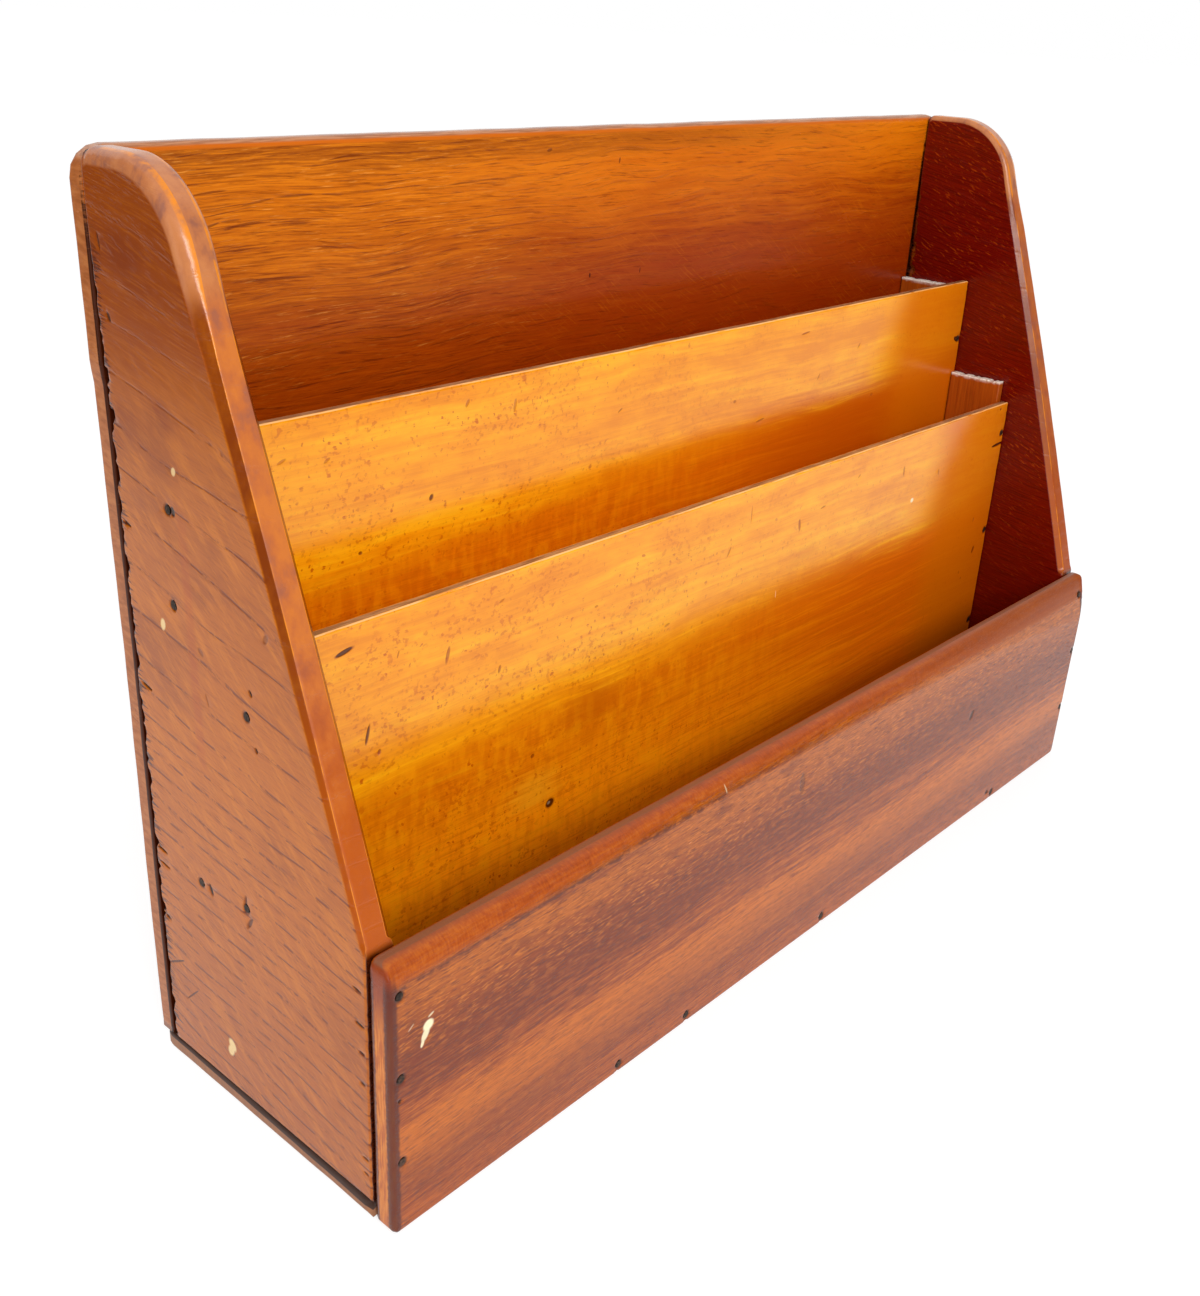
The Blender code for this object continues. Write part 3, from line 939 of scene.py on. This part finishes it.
back_marks = [
    mark(-33.6, 216.6, 2.0, 0.8, 10, 0.1, 0.6),
    mark(-5.9, 213.1, 1.6, 0.6, 80, 0.1, 0.7),
    mark(-16.1, 183.4, 1.3, 0.7, 90, 0.15, 1.0),
    mark(5.3, 182.8, 1.5, 0.5, 80, 0.1, 0.8),
    mark(-124.5, 209.0, 9.0, 0.5, 8, 0.08, 0.45),
    mark(-114.0, 209.8, 11.0, 0.5, 1, 0.08, 0.55),
    mark(-104.0, 209.5, 7.0, 0.4, -4, 0.08, 0.40),
    mark(-91.0, 209.7, 10.0, 0.4, 2, 0.08, 0.30),
    mark(-136.4, 204.9, 4.6, 0.5, 14, 0.08, 0.60),
    mark(-131.5, 205.6, 5.5, 0.4, 3, 0.08, 0.50),
]
back = worn_board(
    "oak_back",
    frayed(board_outline(span_x, span_z, back_corner, spacing=2.4), back_loss),
    ACROSS,
    back_span,
    back_arris,
    inner="low",
    marks=(back_marks, pin_marks("pin_back_", ACROSS)),
    spacing=6.0,
)
stands_for(back, "back_board")

wood, s, shader, mm = wood_sketch("streaked oak", "XZY")
x, z, y = s.parts(mm)
streaks = s.use(fibres, mm, length=34.0, width=1.5, waver=3.0)
fine = s.use(fibres, mm, length=13.0, width=0.5, waver=2.0, seed=4.0)
cracks = s.use(strokes, mm, length=22.0, width=0.8, angle=2.0, waver=4.0, above=0.57, soft=0.1, seed=9.0)
hairs = s.use(strokes, mm, length=8.0, width=0.4, angle=-2.0, waver=3.0, above=0.56, soft=0.1, seed=3.0)
pinkish = s.use(strokes, mm, length=8.0, width=0.6, angle=3.0, waver=3.0, above=0.56, soft=0.12, seed=2.0)
rising = s.use(strokes, mm, length=5.0, width=0.7, angle=25.0, waver=2.0, above=0.53, soft=0.16, seed=5.0)
falling = s.use(strokes, mm, length=9.0, width=0.6, angle=-33.0, waver=3.0, above=0.53, soft=0.14, seed=6.0)
cloud = s.noise(mm, 60.0, 12.0, 30.0, detail=4.0, roughness=0.6)
place = s.wander(s.scaled(x, -0.026, z), (cloud, 26.0), (streaks, 34.0), (fine, 40.0))
body = s.colours(
    s.over(s.minus(place, 140.0), 100.0),
    (0.10, (0.27, 0.018, 0.0001)),
    (0.34, (0.33, 0.033, 0.0001)),
    (0.50, (0.38, 0.050, 0.0002)),
    (0.60, (0.54, 0.098, 0.0004)),
    (0.70, (0.68, 0.148, 0.001)),
    (0.88, (0.84, 0.220, 0.002)),
)
to_left = s.step(x, 30.0, -110.0)
left_wood = s.mix(s.step(place, 172.0, 208.0), (0.36, 0.060, 0.0005), (0.56, 0.145, 0.001))
dull = s.times(s.step(s.wander(z, (streaks, 8.0)), 213.0, 218.0), s.step(x, 150.0, 0.0))
lined = s.scaled(to_left, 0.30, 0.20)
straw = s.mix(s.step(place, 168.0, 204.0), (0.46, 0.070, 0.0003), (0.86, 0.24, 0.002))
patchy = s.step(s.noise(mm, 22.0, 9.0, 20.0), 0.34, 0.60)
pinkish = s.times(s.times(pinkish, s.step(place, 160.0, 192.0)), s.times(patchy, to_left))
crossing = s.most(s.times(rising, 0.4), s.times(falling, s.step(x, -110.0, 20.0)))
body = s.tint(
    body,
    (to_left, 0.50, left_wood),
    (dull, 0.60, (0.30, 0.062, 0.002)),
    (s.step(fine, 0.52, 0.62), lined, (0.20, 0.026, 0.0002)),
    (s.step(fine, 0.48, 0.38), lined, straw),
    (pinkish, 0.50, (0.92, 0.36, 0.05)),
    (s.times(crossing, patchy), 0.17, (0.86, 0.20, 0.002)),
    (cracks, s.scaled(to_left, 0.35, 0.30), (0.12, 0.010, 0.0)),
    (hairs, 0.45, (0.13, 0.010, 0.0)),
)
plain = s.use(fibres, mm, length=80.0, width=1.1, waver=1.2, seed=14.0)
outer = s.shades(plain, 0.15, (0.24, 0.050, 0.004), (0.36, 0.09, 0.008), (0.46, 0.13, 0.013))
outer = s.tint(
    outer,
    (s.step(cloud, 0.44, 0.64), 0.45, (0.26, 0.052, 0.004)),
    (s.step(fine, 0.52, 0.62), 0.30, (0.17, 0.030, 0.002)),
)
colour = s.mix(s.step(s.attribute("inner"), 0.55, 0.9), outer, body)
edge = s.attribute("edge")
rounding = s.mix(s.attribute("inner"), (0.50, 0.14, 0.02), (0.60, 0.125, 0.003))
# Along the top the end wood is painted pinkish tan: a painted sheen
top_sheen = s.mix(s.step(fine, 0.42, 0.58), (0.36, 0.130, 0.05), (0.52, 0.22, 0.10))
end_wood = s.shades(streaks, 0.12, (0.35, 0.095, 0.018), (0.43, 0.125, 0.028), (0.49, 0.16, 0.04))
end_wood = s.mix(s.step(z, 219.0, 220.0), end_wood, top_sheen)
colour = s.mix(s.step(edge, 0.1, 0.4), colour, rounding)
colour = s.mix(s.step(edge, 0.5, 0.75), colour, end_wood)
# In the open joint with each side the board is painted dark: painted shade in the gap
joint_shade = s.times(
    s.step(s.math("ABSOLUTE", x), 156.6, 157.2),
    s.step(s.attribute("inner"), 0.5, 0.7),
    s.step(s.wander(z, (fine, 40.0)), 219.0, 205.0),
)
colour = s.tint(colour, (joint_shade, 0.96, (0.040, 0.006, 0.001)))
colour = s.mix(s.attribute("dark"), colour, (0.09, 0.012, 0.001))
height = s.minus(s.times(streaks, 0.7), cracks)
finish_wood(s, shader, colour, s.scaled(cloud, 0.12, 0.20), height, relief=0.000015, specular=0.24)
back.data.materials.append(wood)


# The four strips
# Thin upright boards pinned to the inside of the sides, with their tops left as the saw broke them. The
# dividers are pinned to their front ends.
strip_wear = 0.05
strip_top_wear = 0.15
strip_top_tear = 0.75
strip_arris = (0.2, 0.2, 0.2, 0.2)
raw_top = (0.9, 0.5)

wood, s, shader, mm = wood_sketch("strip wood", "ZYX")
streaks = s.use(fibres, mm, length=22.0, width=0.9, waver=1.0)
blotch = s.noise(mm, 12.0, 6.0, 6.0, detail=3.0)
colour = s.shades(streaks, 0.15, (0.34, 0.054, 0.001), (0.42, 0.074, 0.001), (0.50, 0.100, 0.002))
colour = s.tint(colour, (s.step(blotch, 0.5, 0.75), 0.5, (0.26, 0.04, 0.001)))
colour = s.mix(s.attribute("dark"), colour, (0.05, 0.012, 0.003))
crumbs = s.noise(mm, 1.2, 0.9, 0.9, detail=3.0)
raw = s.colours(crumbs, (0.34, (0.66, 0.50, 0.36)), (0.52, (0.97, 0.91, 0.82)))
colour = s.mix(s.attribute("pale"), colour, raw)
finish_wood(s, shader, colour, s.scaled(streaks, 0.2, 0.28), streaks, relief=0.00004)

for end in ("front", "rear"):
    for hand in ("left", "right"):
        node = f"strip_{end}_{hand}"
        span_y, span_z, strip_span = node_span(node, ENDWISE)

        def strip_loss(point, out, seed=len(node)):
            if out.y > 0.9:
                return strip_top_wear + strip_top_tear * rough(point.x / 1.3, seed, 2.0)
            return strip_wear

        strip = worn_board(
            f"side_strip_{end}_{hand}",
            frayed(board_outline(span_y, span_z, 0, spacing=1.1), strip_loss),
            ENDWISE,
            strip_span,
            lambda point, out: strip_arris,
            inner="high" if hand == "left" else "low",
            spacing=5.0,
            bow=0.03,
        )
        pale = strip.data.attributes["pale"].data
        for i, corner in enumerate(strip.data.vertices):
            pale[i].value = held((corner.co.z / MM - span_z[1] + raw_top[0]) / raw_top[1])
        strip.data.materials.append(wood)
        stands_for(strip, node)


# The two dividers
# Thin boards of a fine honey-coloured wood, polished on the front, with a greyish top edge painted as a
# sheen. Each is pinned through its ends to the strips behind it.
divider_corner = 0.6
divider_wear = (0.08, 0.12)
divider_end_wear = (0.10, 0.35)
divider_arris = (0.3, 0.3, 0.3, 0.3)
divider_top_arris = (0.5, 0.5, 0.5, 0.5)
divider_marks = {
    "front": [
        mark(151.4, 128.2, 1.2, 1.0, 0, 0.3, 0.9),
        mark(153.5, 114.9, 9.0, 1.2, 3, 0.3, 0.95),
        mark(148.4, 75.8, 3.0, 1.6, 70, 0.2, 0.85),
        mark(144.6, 88.4, 1.8, 0.8, 80, 0.15, 0.8),
        mark(140.0, 68.8, 1.4, 0.7, 80, 0.15, 0.8),
        mark(142.4, 66.0, 1.0, 0.7, 80, 0.15, 0.8),
        mark(-76.8, 59.5, 3.4, 2.8, 20, 0.12, 0.95),
        mark(-77.2, 59.7, 1.2, 0.9, 20, 0.12, 0.95, 0.22),
        mark(-84.0, 76.5, 1.4, 1.2, 20, 0.1, 0.8),
        mark(96.1, 106.3, 1.8, 1.6, 0, 0.0, 0.0, 1.0),
        mark(3.3, 121.9, 5.6, 0.5, 90, 0.12, 0.5),
        mark(29.0, 113.0, 4.0, 1.2, 100, 0.2, 0.7),
        mark(-142.9, 124.1, 5.6, 1.2, 12, 0.15, 0.95),
        mark(-137.2, 102.0, 5.4, 0.9, 76, 0.15, 0.9),
        mark(-113.2, 114.2, 4.4, 1.1, 76, 0.12, 0.7),
        mark(-96.4, 105.2, 2.2, 0.9, 76, 0.12, 0.7),
        mark(-134.0, 96.6, 1.4, 1.0, 70, 0.12, 0.8),
        mark(-128.0, 119.0, 2.0, 0.5, 70, 0.1, 0.6),
        mark(41.0, 116.0, 3.0, 0.5, 8, 0.1, 0.6),
        mark(-6.0, 113.0, 3.4, 0.7, 60, 0.12, 0.55),
        mark(88.0, 118.0, 3.4, 1.2, 95, 0.15, 0.55),
        mark(-32.0, 98.0, 2.4, 0.8, 10, 0.12, 0.5),
        mark(60.0, 122.0, 1.6, 0.6, 40, 0.1, 0.5),
        mark(112.0, 113.0, 2.2, 1.0, 100, 0.12, 0.5),
        mark(20.0, 93.0, 2.6, 0.3, 95, 0.05, 0.0, 0.5),
        mark(-62.0, 112.0, 1.4, 0.7, 0, 0.1, 0.5),
        mark(-96.0, 123.0, 2.0, 0.6, 20, 0.1, 0.5),
        mark(118.0, 57.0, 2.8, 0.5, 80, 0.1, 0.45),
    ],
    "rear": [
        mark(154.0, 148.8, 3.4, 1.6, 160, 0.4, 0.95),
        mark(-97.6, 143.0, 1.8, 1.2, 60, 0.2, 0.9),
        mark(-119.5, 134.2, 1.2, 0.9, 0, 0.15, 0.85),
        mark(-30.0, 153.0, 2.2, 0.5, 30, 0.1, 0.6),
        mark(56.0, 163.0, 4.5, 0.6, 5, 0.1, 0.65),
        mark(66.0, 148.0, 2.4, 0.5, 60, 0.1, 0.6),
        mark(36.0, 139.0, 4.4, 0.6, 8, 0.1, 0.7),
        mark(22.0, 147.0, 1.4, 1.0, 0, 0.12, 0.6),
        mark(88.0, 155.0, 2.4, 0.6, 50, 0.1, 0.6),
        mark(-70.0, 161.0, 3.4, 1.0, 80, 0.1, 0.5),
        mark(-140.0, 160.0, 2.6, 0.8, 20, 0.1, 0.5),
        mark(-128.0, 158.0, 2.0, 0.8, 30, 0.1, 0.5),
        mark(100.0, 137.0, 1.6, 1.0, 0, 0.1, 0.5),
        mark(-86.0, 164.0, 2.2, 1.0, 60, 0.1, 0.55),
    ],
}

# Small round specks, scattered thinly
specks, s, given, result = new_group(
    "specks", {"Spacing": 5.0, "Size": 0.5, "Chance": 0.3, "Seed": 0.0}, "Mask"
)
cells = s.add("ShaderNodeTexVoronoi")
cells.inputs["Scale"].default_value = 1.0
apart = s.joined(*[s.over(part, given["Spacing"]) for part in s.parts(given["Vector"])])
spot = s.fed(s.add("ShaderNodeVectorMath", operation="ADD"), apart, given["Seed"])
s.feed(cells.inputs["Vector"], spot)
lots = s.parts(cells.outputs["Color"])
radius = s.times(s.over(given["Size"], given["Spacing"]), s.math("ADD", lots[1], 0.4))
dot = s.step(cells.outputs["Distance"], radius, s.times(radius, 0.5))
s.feed(result, s.times(dot, s.math("LESS_THAN", lots[0], given["Chance"])))

wood, s, shader, mm = wood_sketch("honey wood", "XZY")
x, z, y = s.parts(mm)
# Heights are measured on the front divider, and the rear one is as much taller as its top is higher
front_height, rear_height = (node_span(f"divider_{end}", ACROSS)[1][1] for end in ("front", "rear"))
is_rear = s.step(y, 4.0, 6.0)
height_up = s.minus(z, s.times(is_rear, rear_height - front_height))
streaks = s.use(fibres, mm, length=40.0, width=1.0, waver=1.5)
fine = s.use(fibres, mm, length=9.0, width=0.35, waver=0.5, seed=3.0)
broad = s.use(fibres, mm, length=110.0, width=10.0, waver=5.0, seed=12.0)
mottle = s.noise(mm, 9.0, 5.0, 9.0, detail=4.0, roughness=0.6)
cloud = s.noise(mm, 26.0, 9.0, 20.0, detail=4.0, roughness=0.65)
upper = s.wander(broad, (streaks, 0.6), (fine, 0.5), (mottle, 0.4))
upper = s.shades(upper, 0.20, (0.82, 0.248, 0.0005), (0.94, 0.330, 0.001), (1.0, 0.44, 0.004))
upper = s.tint(
    upper,
    (s.step(cloud, 0.50, 0.68), 0.30, (0.66, 0.165, 0.001)),
    (s.step(fine, 0.54, 0.66), 0.25, (0.62, 0.150, 0.0)),
)
# Below the part that catches the light the colour is a painted shade of deep amber, darker lower down and
# to the right
left_low_shade = s.mix(s.step(height_up, 84.0, 58.0), (0.74, 0.170, 0.0002), (1.0, 0.280, 0.001))
right_low_shade = s.mix(s.step(height_up, 76.0, 56.0), (0.70, 0.118, 0.0), (0.80, 0.145, 0.0))
lower = s.mix(s.step(s.wander(x, (broad, 160.0), (streaks, 60.0)), -50.0, 80.0), left_low_shade, right_low_shade)
curl = s.noise(mm, 2.6, 9.0, 14.0)
curled = s.times(s.step(x, 70.0, -70.0), 0.20)
lower = s.tint(
    lower,
    (s.step(streaks, 0.50, 0.64), 0.30, (0.56, 0.095, 0.0)),
    (s.step(streaks, 0.50, 0.36), 0.25, (0.98, 0.30, 0.001)),
    (s.step(fine, 0.52, 0.64), 0.30, (0.50, 0.090, 0.0)),
    (s.step(curl, 0.50, 0.64), curled, (1.0, 0.38, 0.002)),
    (s.step(curl, 0.50, 0.36), curled, (0.50, 0.085, 0.0)),
    (s.times(is_rear, s.step(x, 0.0, 80.0)), 0.60, (0.50, 0.080, 0.0)),
)
shade_border = s.scaled(is_rear, 6.0, s.scaled(x, s.scaled(is_rear, 0.02, 0.035), 91.0))
below_shade_border = s.minus(shade_border, s.wander(height_up, (broad, 16.0), (streaks, 16.0)))
colour = s.mix(s.step(below_shade_border, -7.0, 7.0), upper, lower)
gold = s.times(s.step(mottle, 0.50, 0.66), s.step(x, 40.0, -60.0))
# Towards the right end the colour is painted a deeper orange: painted shade where the polish no longer
# mirrors the white floor
right_end_shade = s.step(s.wander(x, (mottle, 12.0), (streaks, 20.0)), 101.0, 123.0)
colour = s.tint(colour, (gold, 0.30, (0.98, 0.35, 0.001)), (right_end_shade, 0.80, (0.68, 0.145, 0.0002)))
for (patch_x, patch_z), (wide, high), share, other in (
    ((-83.0, 66.0), (14.0, 8.0), 0.55, (0.98, 0.40, 0.01)),
    ((-62.0, 84.0), (18.0, 10.0), 0.45, (0.50, 0.10, 0.0)),
):
    along = s.over(s.minus(x, patch_x), wide)
    up = s.over(s.minus(height_up, patch_z), high)
    reach = s.math("SQRT", s.scaled(along, along, s.times(up, up)))
    near = s.times(s.step(s.wander(reach, (streaks, 1.6)), 1.0, 0.2), s.minus(1.0, is_rear))
    colour = s.tint(colour, (near, share, other))
warped = s.joined(s.wander(x, (mottle, 5.0)), s.wander(z, (fine, 3.0)), y)
brown = s.use(specks, warped, spacing=3.8, size=0.62, chance=0.45)
tiny = s.use(specks, warped, spacing=1.5, size=0.40, chance=0.50, seed=5.0)
dashes = s.use(strokes, mm, length=2.0, width=0.5, angle=55.0, above=0.65, soft=0.05, seed=7.0)
dirt = s.most(brown, tiny, dashes)
crowded = s.times(s.step(broad, 0.34, 0.60), s.scaled(s.step(x, 90.0, -120.0), 0.65, 0.35))
freckles = s.noise(mm, 1.5, 1.3, 2.0)
clustered = s.times(s.step(cloud, 0.40, 0.60), s.scaled(s.step(x, 40.0, -120.0), 0.7, 0.3))
edge = s.attribute("edge")
colour = s.tint(
    colour,
    (s.times(dirt, crowded), 0.85, (0.52, 0.070, 0.0)),
    (s.times(s.step(freckles, 0.55, 0.66), clustered), 0.60, (0.58, 0.100, 0.0)),
    (s.between(edge, 0.55, 1.05, 0.15), s.step(fine, 0.60, 0.48), (0.98, 0.52, 0.18)),
)
# The top edge is painted greyish brown: a painted sheen
top_sheen_wood = s.shades(fine, 0.15, (0.20, 0.09, 0.045), (0.36, 0.17, 0.08), (0.52, 0.28, 0.14))
colour = s.mix(s.step(edge, 1.05, 1.3), colour, top_sheen_wood)
blot = s.attribute("dark")
colour = s.mix(blot, colour, s.mix(s.step(blot, 0.75, 0.95), (0.32, 0.045, 0.0), (0.06, 0.008, 0.0)))
colour = s.mix(s.attribute("pale"), colour, (0.98, 0.80, 0.50))
height = s.math("ADD", s.times(fine, 0.6), s.times(streaks, 0.4))
finish_wood(s, shader, colour, s.scaled(mottle, 0.10, 0.15), height, relief=0.00002)

for end in ("front", "rear"):
    node = f"divider_{end}"
    span_x, span_z, divider_span = node_span(node, ACROSS)

    def divider_loss(point, out, seed=len(node)):
        if abs(out.x) > 0.9:
            return divider_end_wear[0] + divider_end_wear[1] * rough(point.y / 2.6, seed, 4.0)
        return divider_wear[0] + divider_wear[1] * noise.noise((point.x / 20, seed, 6.0))

    divider = worn_board(
        f"honey_divider_{end}",
        frayed(board_outline(span_x, span_z, divider_corner, spacing=2.4), divider_loss),
        ACROSS,
        divider_span,
        lambda point, out: divider_top_arris if out.y > 0.5 else divider_arris,
        inner="low",
        marks=(divider_marks[end] + pin_marks("pin_divider_" + end, ACROSS), []),
        spacing=5.0,
        bow=0.03,
    )
    divider.data.materials.append(wood)
    stands_for(divider, node)


# The front board
# A mahogany board with the ribbon figure of its kind, nailed over the front edges of the sides and the
# base. Its upper edge is rounded over towards the front, more so at the right, and its ends show.
front_foot_corners = (1.6, 2.8)
front_top_corner = 2.6
front_wear = 0.08
front_foot_wear = 0.02
front_top_width = (4.6, 12.0)
front_top_depth = (4.4, 0.6)
front_end_width = (1.1, 0.9)
front_end_depth = (1.0, 0.8)
front_foot_arris = 0.9
front_back_arris = (0.6, 0.9)
front_planed = 0.55
(x0, x1), (z0, z1), front_span = node_span("front_board", ACROSS)
front_corners = [
    (x0, z0, front_foot_corners[0]),
    (x1, z0, front_foot_corners[1]),
    (x1, z1, front_top_corner),
    (x0, z1, front_top_corner),
]


def along_front(x):
    """The share of the way from the left end to the right one."""
    return (x - x0) / (x1 - x0)


def front_loss(point, out):
    return front_foot_wear if out.y < -0.9 else rubbed_by(point, front_wear, length=16, seed=11.0)


def front_arris(point, out):
    along = along_front(point.x)
    top, end, foot = max(0.0, out.y) ** 2, out.x**2, max(0.0, -out.y) ** 2
    width = (front_top_width[0] + front_top_width[1] * along**4) * top
    width += (front_end_width[0] + front_end_width[1] * along) * end + front_foot_arris * foot
    depth = (front_top_depth[0] + front_top_depth[1] * along) * top
    depth += (front_end_depth[0] + front_end_depth[1] * along) * end + front_foot_arris * foot
    behind = front_back_arris[0] + front_back_arris[1] * end
    return width, depth, behind, behind


front_marks = [
    mark(-162.6, 38.0, 1.1, 1.0, 0, 0.4, 1.0),
    mark(86.1, 43.5, 3.6, 2.0, 60, 0.2, 0.8),
    mark(-154.4, 54.0, 3.0, 2.6, 30, 0.06, 0.0, 1.0),
    mark(-155.2, 52.0, 3.8, 1.8, 62, 0.06, 0.0, 0.9),
    mark(-156.1, 49.9, 2.0, 0.9, 70, 0.06, 0.0, 0.9),
    mark(-153.6, 56.4, 1.8, 0.6, 25, 0.04, 0.0, 0.6),
    mark(-159.2, 56.0, 2.2, 0.4, 40, 0.03, 0.0, 0.35),
    mark(-15.7, 57.9, 7.0, 2.6, 95, 0.12, 0.45),
    mark(-51.9, 70.4, 0.5, 2.2, 0, 0.04, 0.0, 0.4),
    mark(110.0, 4.0, 2.4, 1.6, 0, 0.3, 0.9),
    mark(60.0, 30.0, 1.6, 0.6, 70, 0.08, 0.6),
    mark(118.0, 43.0, 2.6, 0.5, 85, 0.08, 0.6),
    mark(96.0, 27.0, 2.0, 0.8, 70, 0.08, 0.5),
]
front = worn_board(
    "mahogany_front",
    frayed(rounded(front_corners, 2.2), front_loss),
    ACROSS,
    front_span,
    front_arris,
    marks=(front_marks + pin_marks("pin_front_", ACROSS), []),
    flatness=lambda points: front_planed * along_front(points[:, 0]) ** 2,
)
stands_for(front, "front_board")

wood, s, shader, mm = wood_sketch("ribbon mahogany", "XZY")
x, z, y = s.parts(mm)
ribbons = s.use(fibres, mm, length=260.0, width=9.0, waver=4.0, seed=2.0)
streaks = s.use(fibres, mm, length=55.0, width=1.0, waver=1.5, seed=7.0)
fine = s.use(fibres, mm, length=10.0, width=0.35, angle=1.5, waver=0.5, seed=5.0)
mottle = s.noise(mm, 3.0, 1.3, 3.0, detail=3.0, roughness=0.65)
place = s.wander(z, (ribbons, 18.0), (streaks, 26.0), (fine, 26.0), (mottle, 6.0))
colour = s.colours(
    s.over(place, 75.0),
    (0.00, (0.42, 0.080, 0.002)),
    (0.15, (0.24, 0.036, 0.001)),
    (0.24, (0.40, 0.082, 0.002)),
    (0.34, (0.60, 0.142, 0.004)),
    (0.42, (0.38, 0.072, 0.002)),
    (0.52, (0.19, 0.025, 0.001)),
    (0.66, (0.20, 0.028, 0.001)),
    (0.76, (0.32, 0.060, 0.002)),
    (0.86, (0.48, 0.115, 0.004)),
    (0.97, (0.32, 0.056, 0.002)),
)
light_flecks = s.use(
    strokes, mm, length=3.4, width=0.55, angle=3.0, waver=1.0, above=0.52, soft=0.10, seed=11.0
)
dark_flecks = s.use(
    strokes, mm, length=3.0, width=0.32, angle=2.0, waver=0.5, above=0.53, soft=0.10, seed=13.0
)
upper = s.between(z, 49.0, 66.0, 5.0)
smudges = s.times(
    s.step(s.noise(mm, 15.0, 6.0, 15.0, detail=3.0), 0.52, 0.68),
    s.times(s.between(z, 54.0, 70.0, 4.0), s.step(x, 40.0, -50.0)),
)
# The matt band along the rounded top, whose colour is painted for the light and reflection it catches, and
# the dark line at its foot
band_foot = s.scaled(s.step(x, -20.0, 165.0), -6.0, 69.6)
band_foot = s.scaled(s.step(x, -60.0, -165.0), -1.8, band_foot)
above_foot = s.minus(s.wander(z, (mottle, 2.0)), band_foot)
line = s.times(s.between(above_foot, -1.0, 0.2, 0.7), s.step(mottle, 0.35, 0.6))
colour = s.tint(
    colour,
    (light_flecks, s.scaled(upper, 0.45, 0.20), (0.70, 0.20, 0.014)),
    (dark_flecks, s.scaled(upper, 0.25, 0.50), (0.10, 0.013, 0.001)),
    (s.step(fine, 0.52, 0.63), 0.38, (0.14, 0.018, 0.001)),
    (s.step(fine, 0.48, 0.36), 0.26, (0.66, 0.17, 0.005)),
    (line, s.step(x, 40.0, -90.0), (0.12, 0.020, 0.002)),
    (smudges, 0.55, (0.15, 0.020, 0.001)),
)
scratches = s.use(fibres, mm, length=5.0, width=0.5, angle=80.0, waver=1.0, seed=15.0)
band = s.wander(streaks, (scratches, 0.8), (mottle, 0.6))
band = s.shades(band, 0.25, (0.30, 0.044, 0.001), (0.42, 0.070, 0.001), (0.52, 0.115, 0.004))
band = s.tint(band, (s.step(x, -20.0, 120.0), 0.55, (0.26, 0.052, 0.003)))
colour = s.mix(s.step(above_foot, 0.0, 2.2), colour, band)
edge = s.attribute("edge")
# The flat along the top is painted grey-mauve: a painted sheen
top_flat_sheen = s.times(s.step(z, 70.8, 72.4), s.step(edge, 0.9, 1.1))
colour = s.tint(colour, (top_flat_sheen, 0.9, (0.24, 0.090, 0.045)))
end_fibres = s.noise(mm, 4.0, 5.0, 0.6, detail=4.0)
end_wood = s.shades(end_fibres, 0.12, (0.52, 0.110, 0.003), (0.66, 0.170, 0.006), (0.76, 0.23, 0.015))
end_top = s.step(s.wander(z, (end_fibres, 16.0)), 54.0, 68.0)
end_wood = s.tint(end_wood, (end_top, 0.90, (0.26, 0.026, 0.0)))
colour = s.mix(s.step(s.math("ABSOLUTE", x), 163.7, 164.4), colour, end_wood)
# Dark lines along the worn corners of its ends
off_middle = s.wander(s.math("ABSOLUTE", s.minus(y, -43.0)), (mottle, 1.0))
off_end = s.wander(s.math("ABSOLUTE", x), (mottle, 1.6))
end_line = s.times(
    s.step(off_middle, 1.2, 1.9), s.step(off_end, 162.5, 163.3), s.step(z, 72.0, 67.0)
)
colour = s.tint(colour, (end_line, 0.92, (0.10, 0.010, 0.0)))
colour = s.mix(s.attribute("dark"), colour, (0.040, 0.014, 0.009))
colour = s.mix(s.attribute("pale"), colour, (0.98, 0.86, 0.55))
roughness = s.scaled(s.step(above_foot, 0.0, 2.2), 0.16, s.scaled(mottle, 0.14, 0.17))
height = s.minus(s.times(streaks, 0.7), dark_flecks)
finish_wood(s, shader, colour, roughness, height, relief=0.00003, specular=0.38)
front.data.materials.append(wood)


# The panel pins
# Iron pins hammered just below the surface, dark with age. They are the CAD pins themselves.
crust_grain = 0.0006
iron, s, shader = new_material("aged iron")
place = s.add("ShaderNodeTexCoord").outputs["Object"]
crust = s.noise(place, *[crust_grain] * 3, detail=4.0, roughness=0.65)
colour = s.shades(crust, 0.15, (0.020, 0.016, 0.014), (0.06, 0.045, 0.035), (0.15, 0.06, 0.03))
finish_wood(s, shader, colour, s.scaled(crust, 0.4, 0.35), crust, relief=0.00005)
s.feed(shader.inputs["Metallic"], s.step(crust, 0.75, 0.45))
for name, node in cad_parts.items():
    if name.startswith("pin_"):
        if not node.material_slots:
            node.data.materials.append(iron)
        for slot in node.material_slots:
            slot.material = iron

# At the right the rounded edge is worn back past one pin, which was driven in after it
sunk_pin = "pin_front_right_3"
sunk_by = 1.5
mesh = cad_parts[sunk_pin].data.copy()
mesh.transform(Matrix.Translation((0, sunk_by * MM, 0)))
stands_for(put_in_scene("sunk_front_pin", mesh), sunk_pin)


low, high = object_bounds()
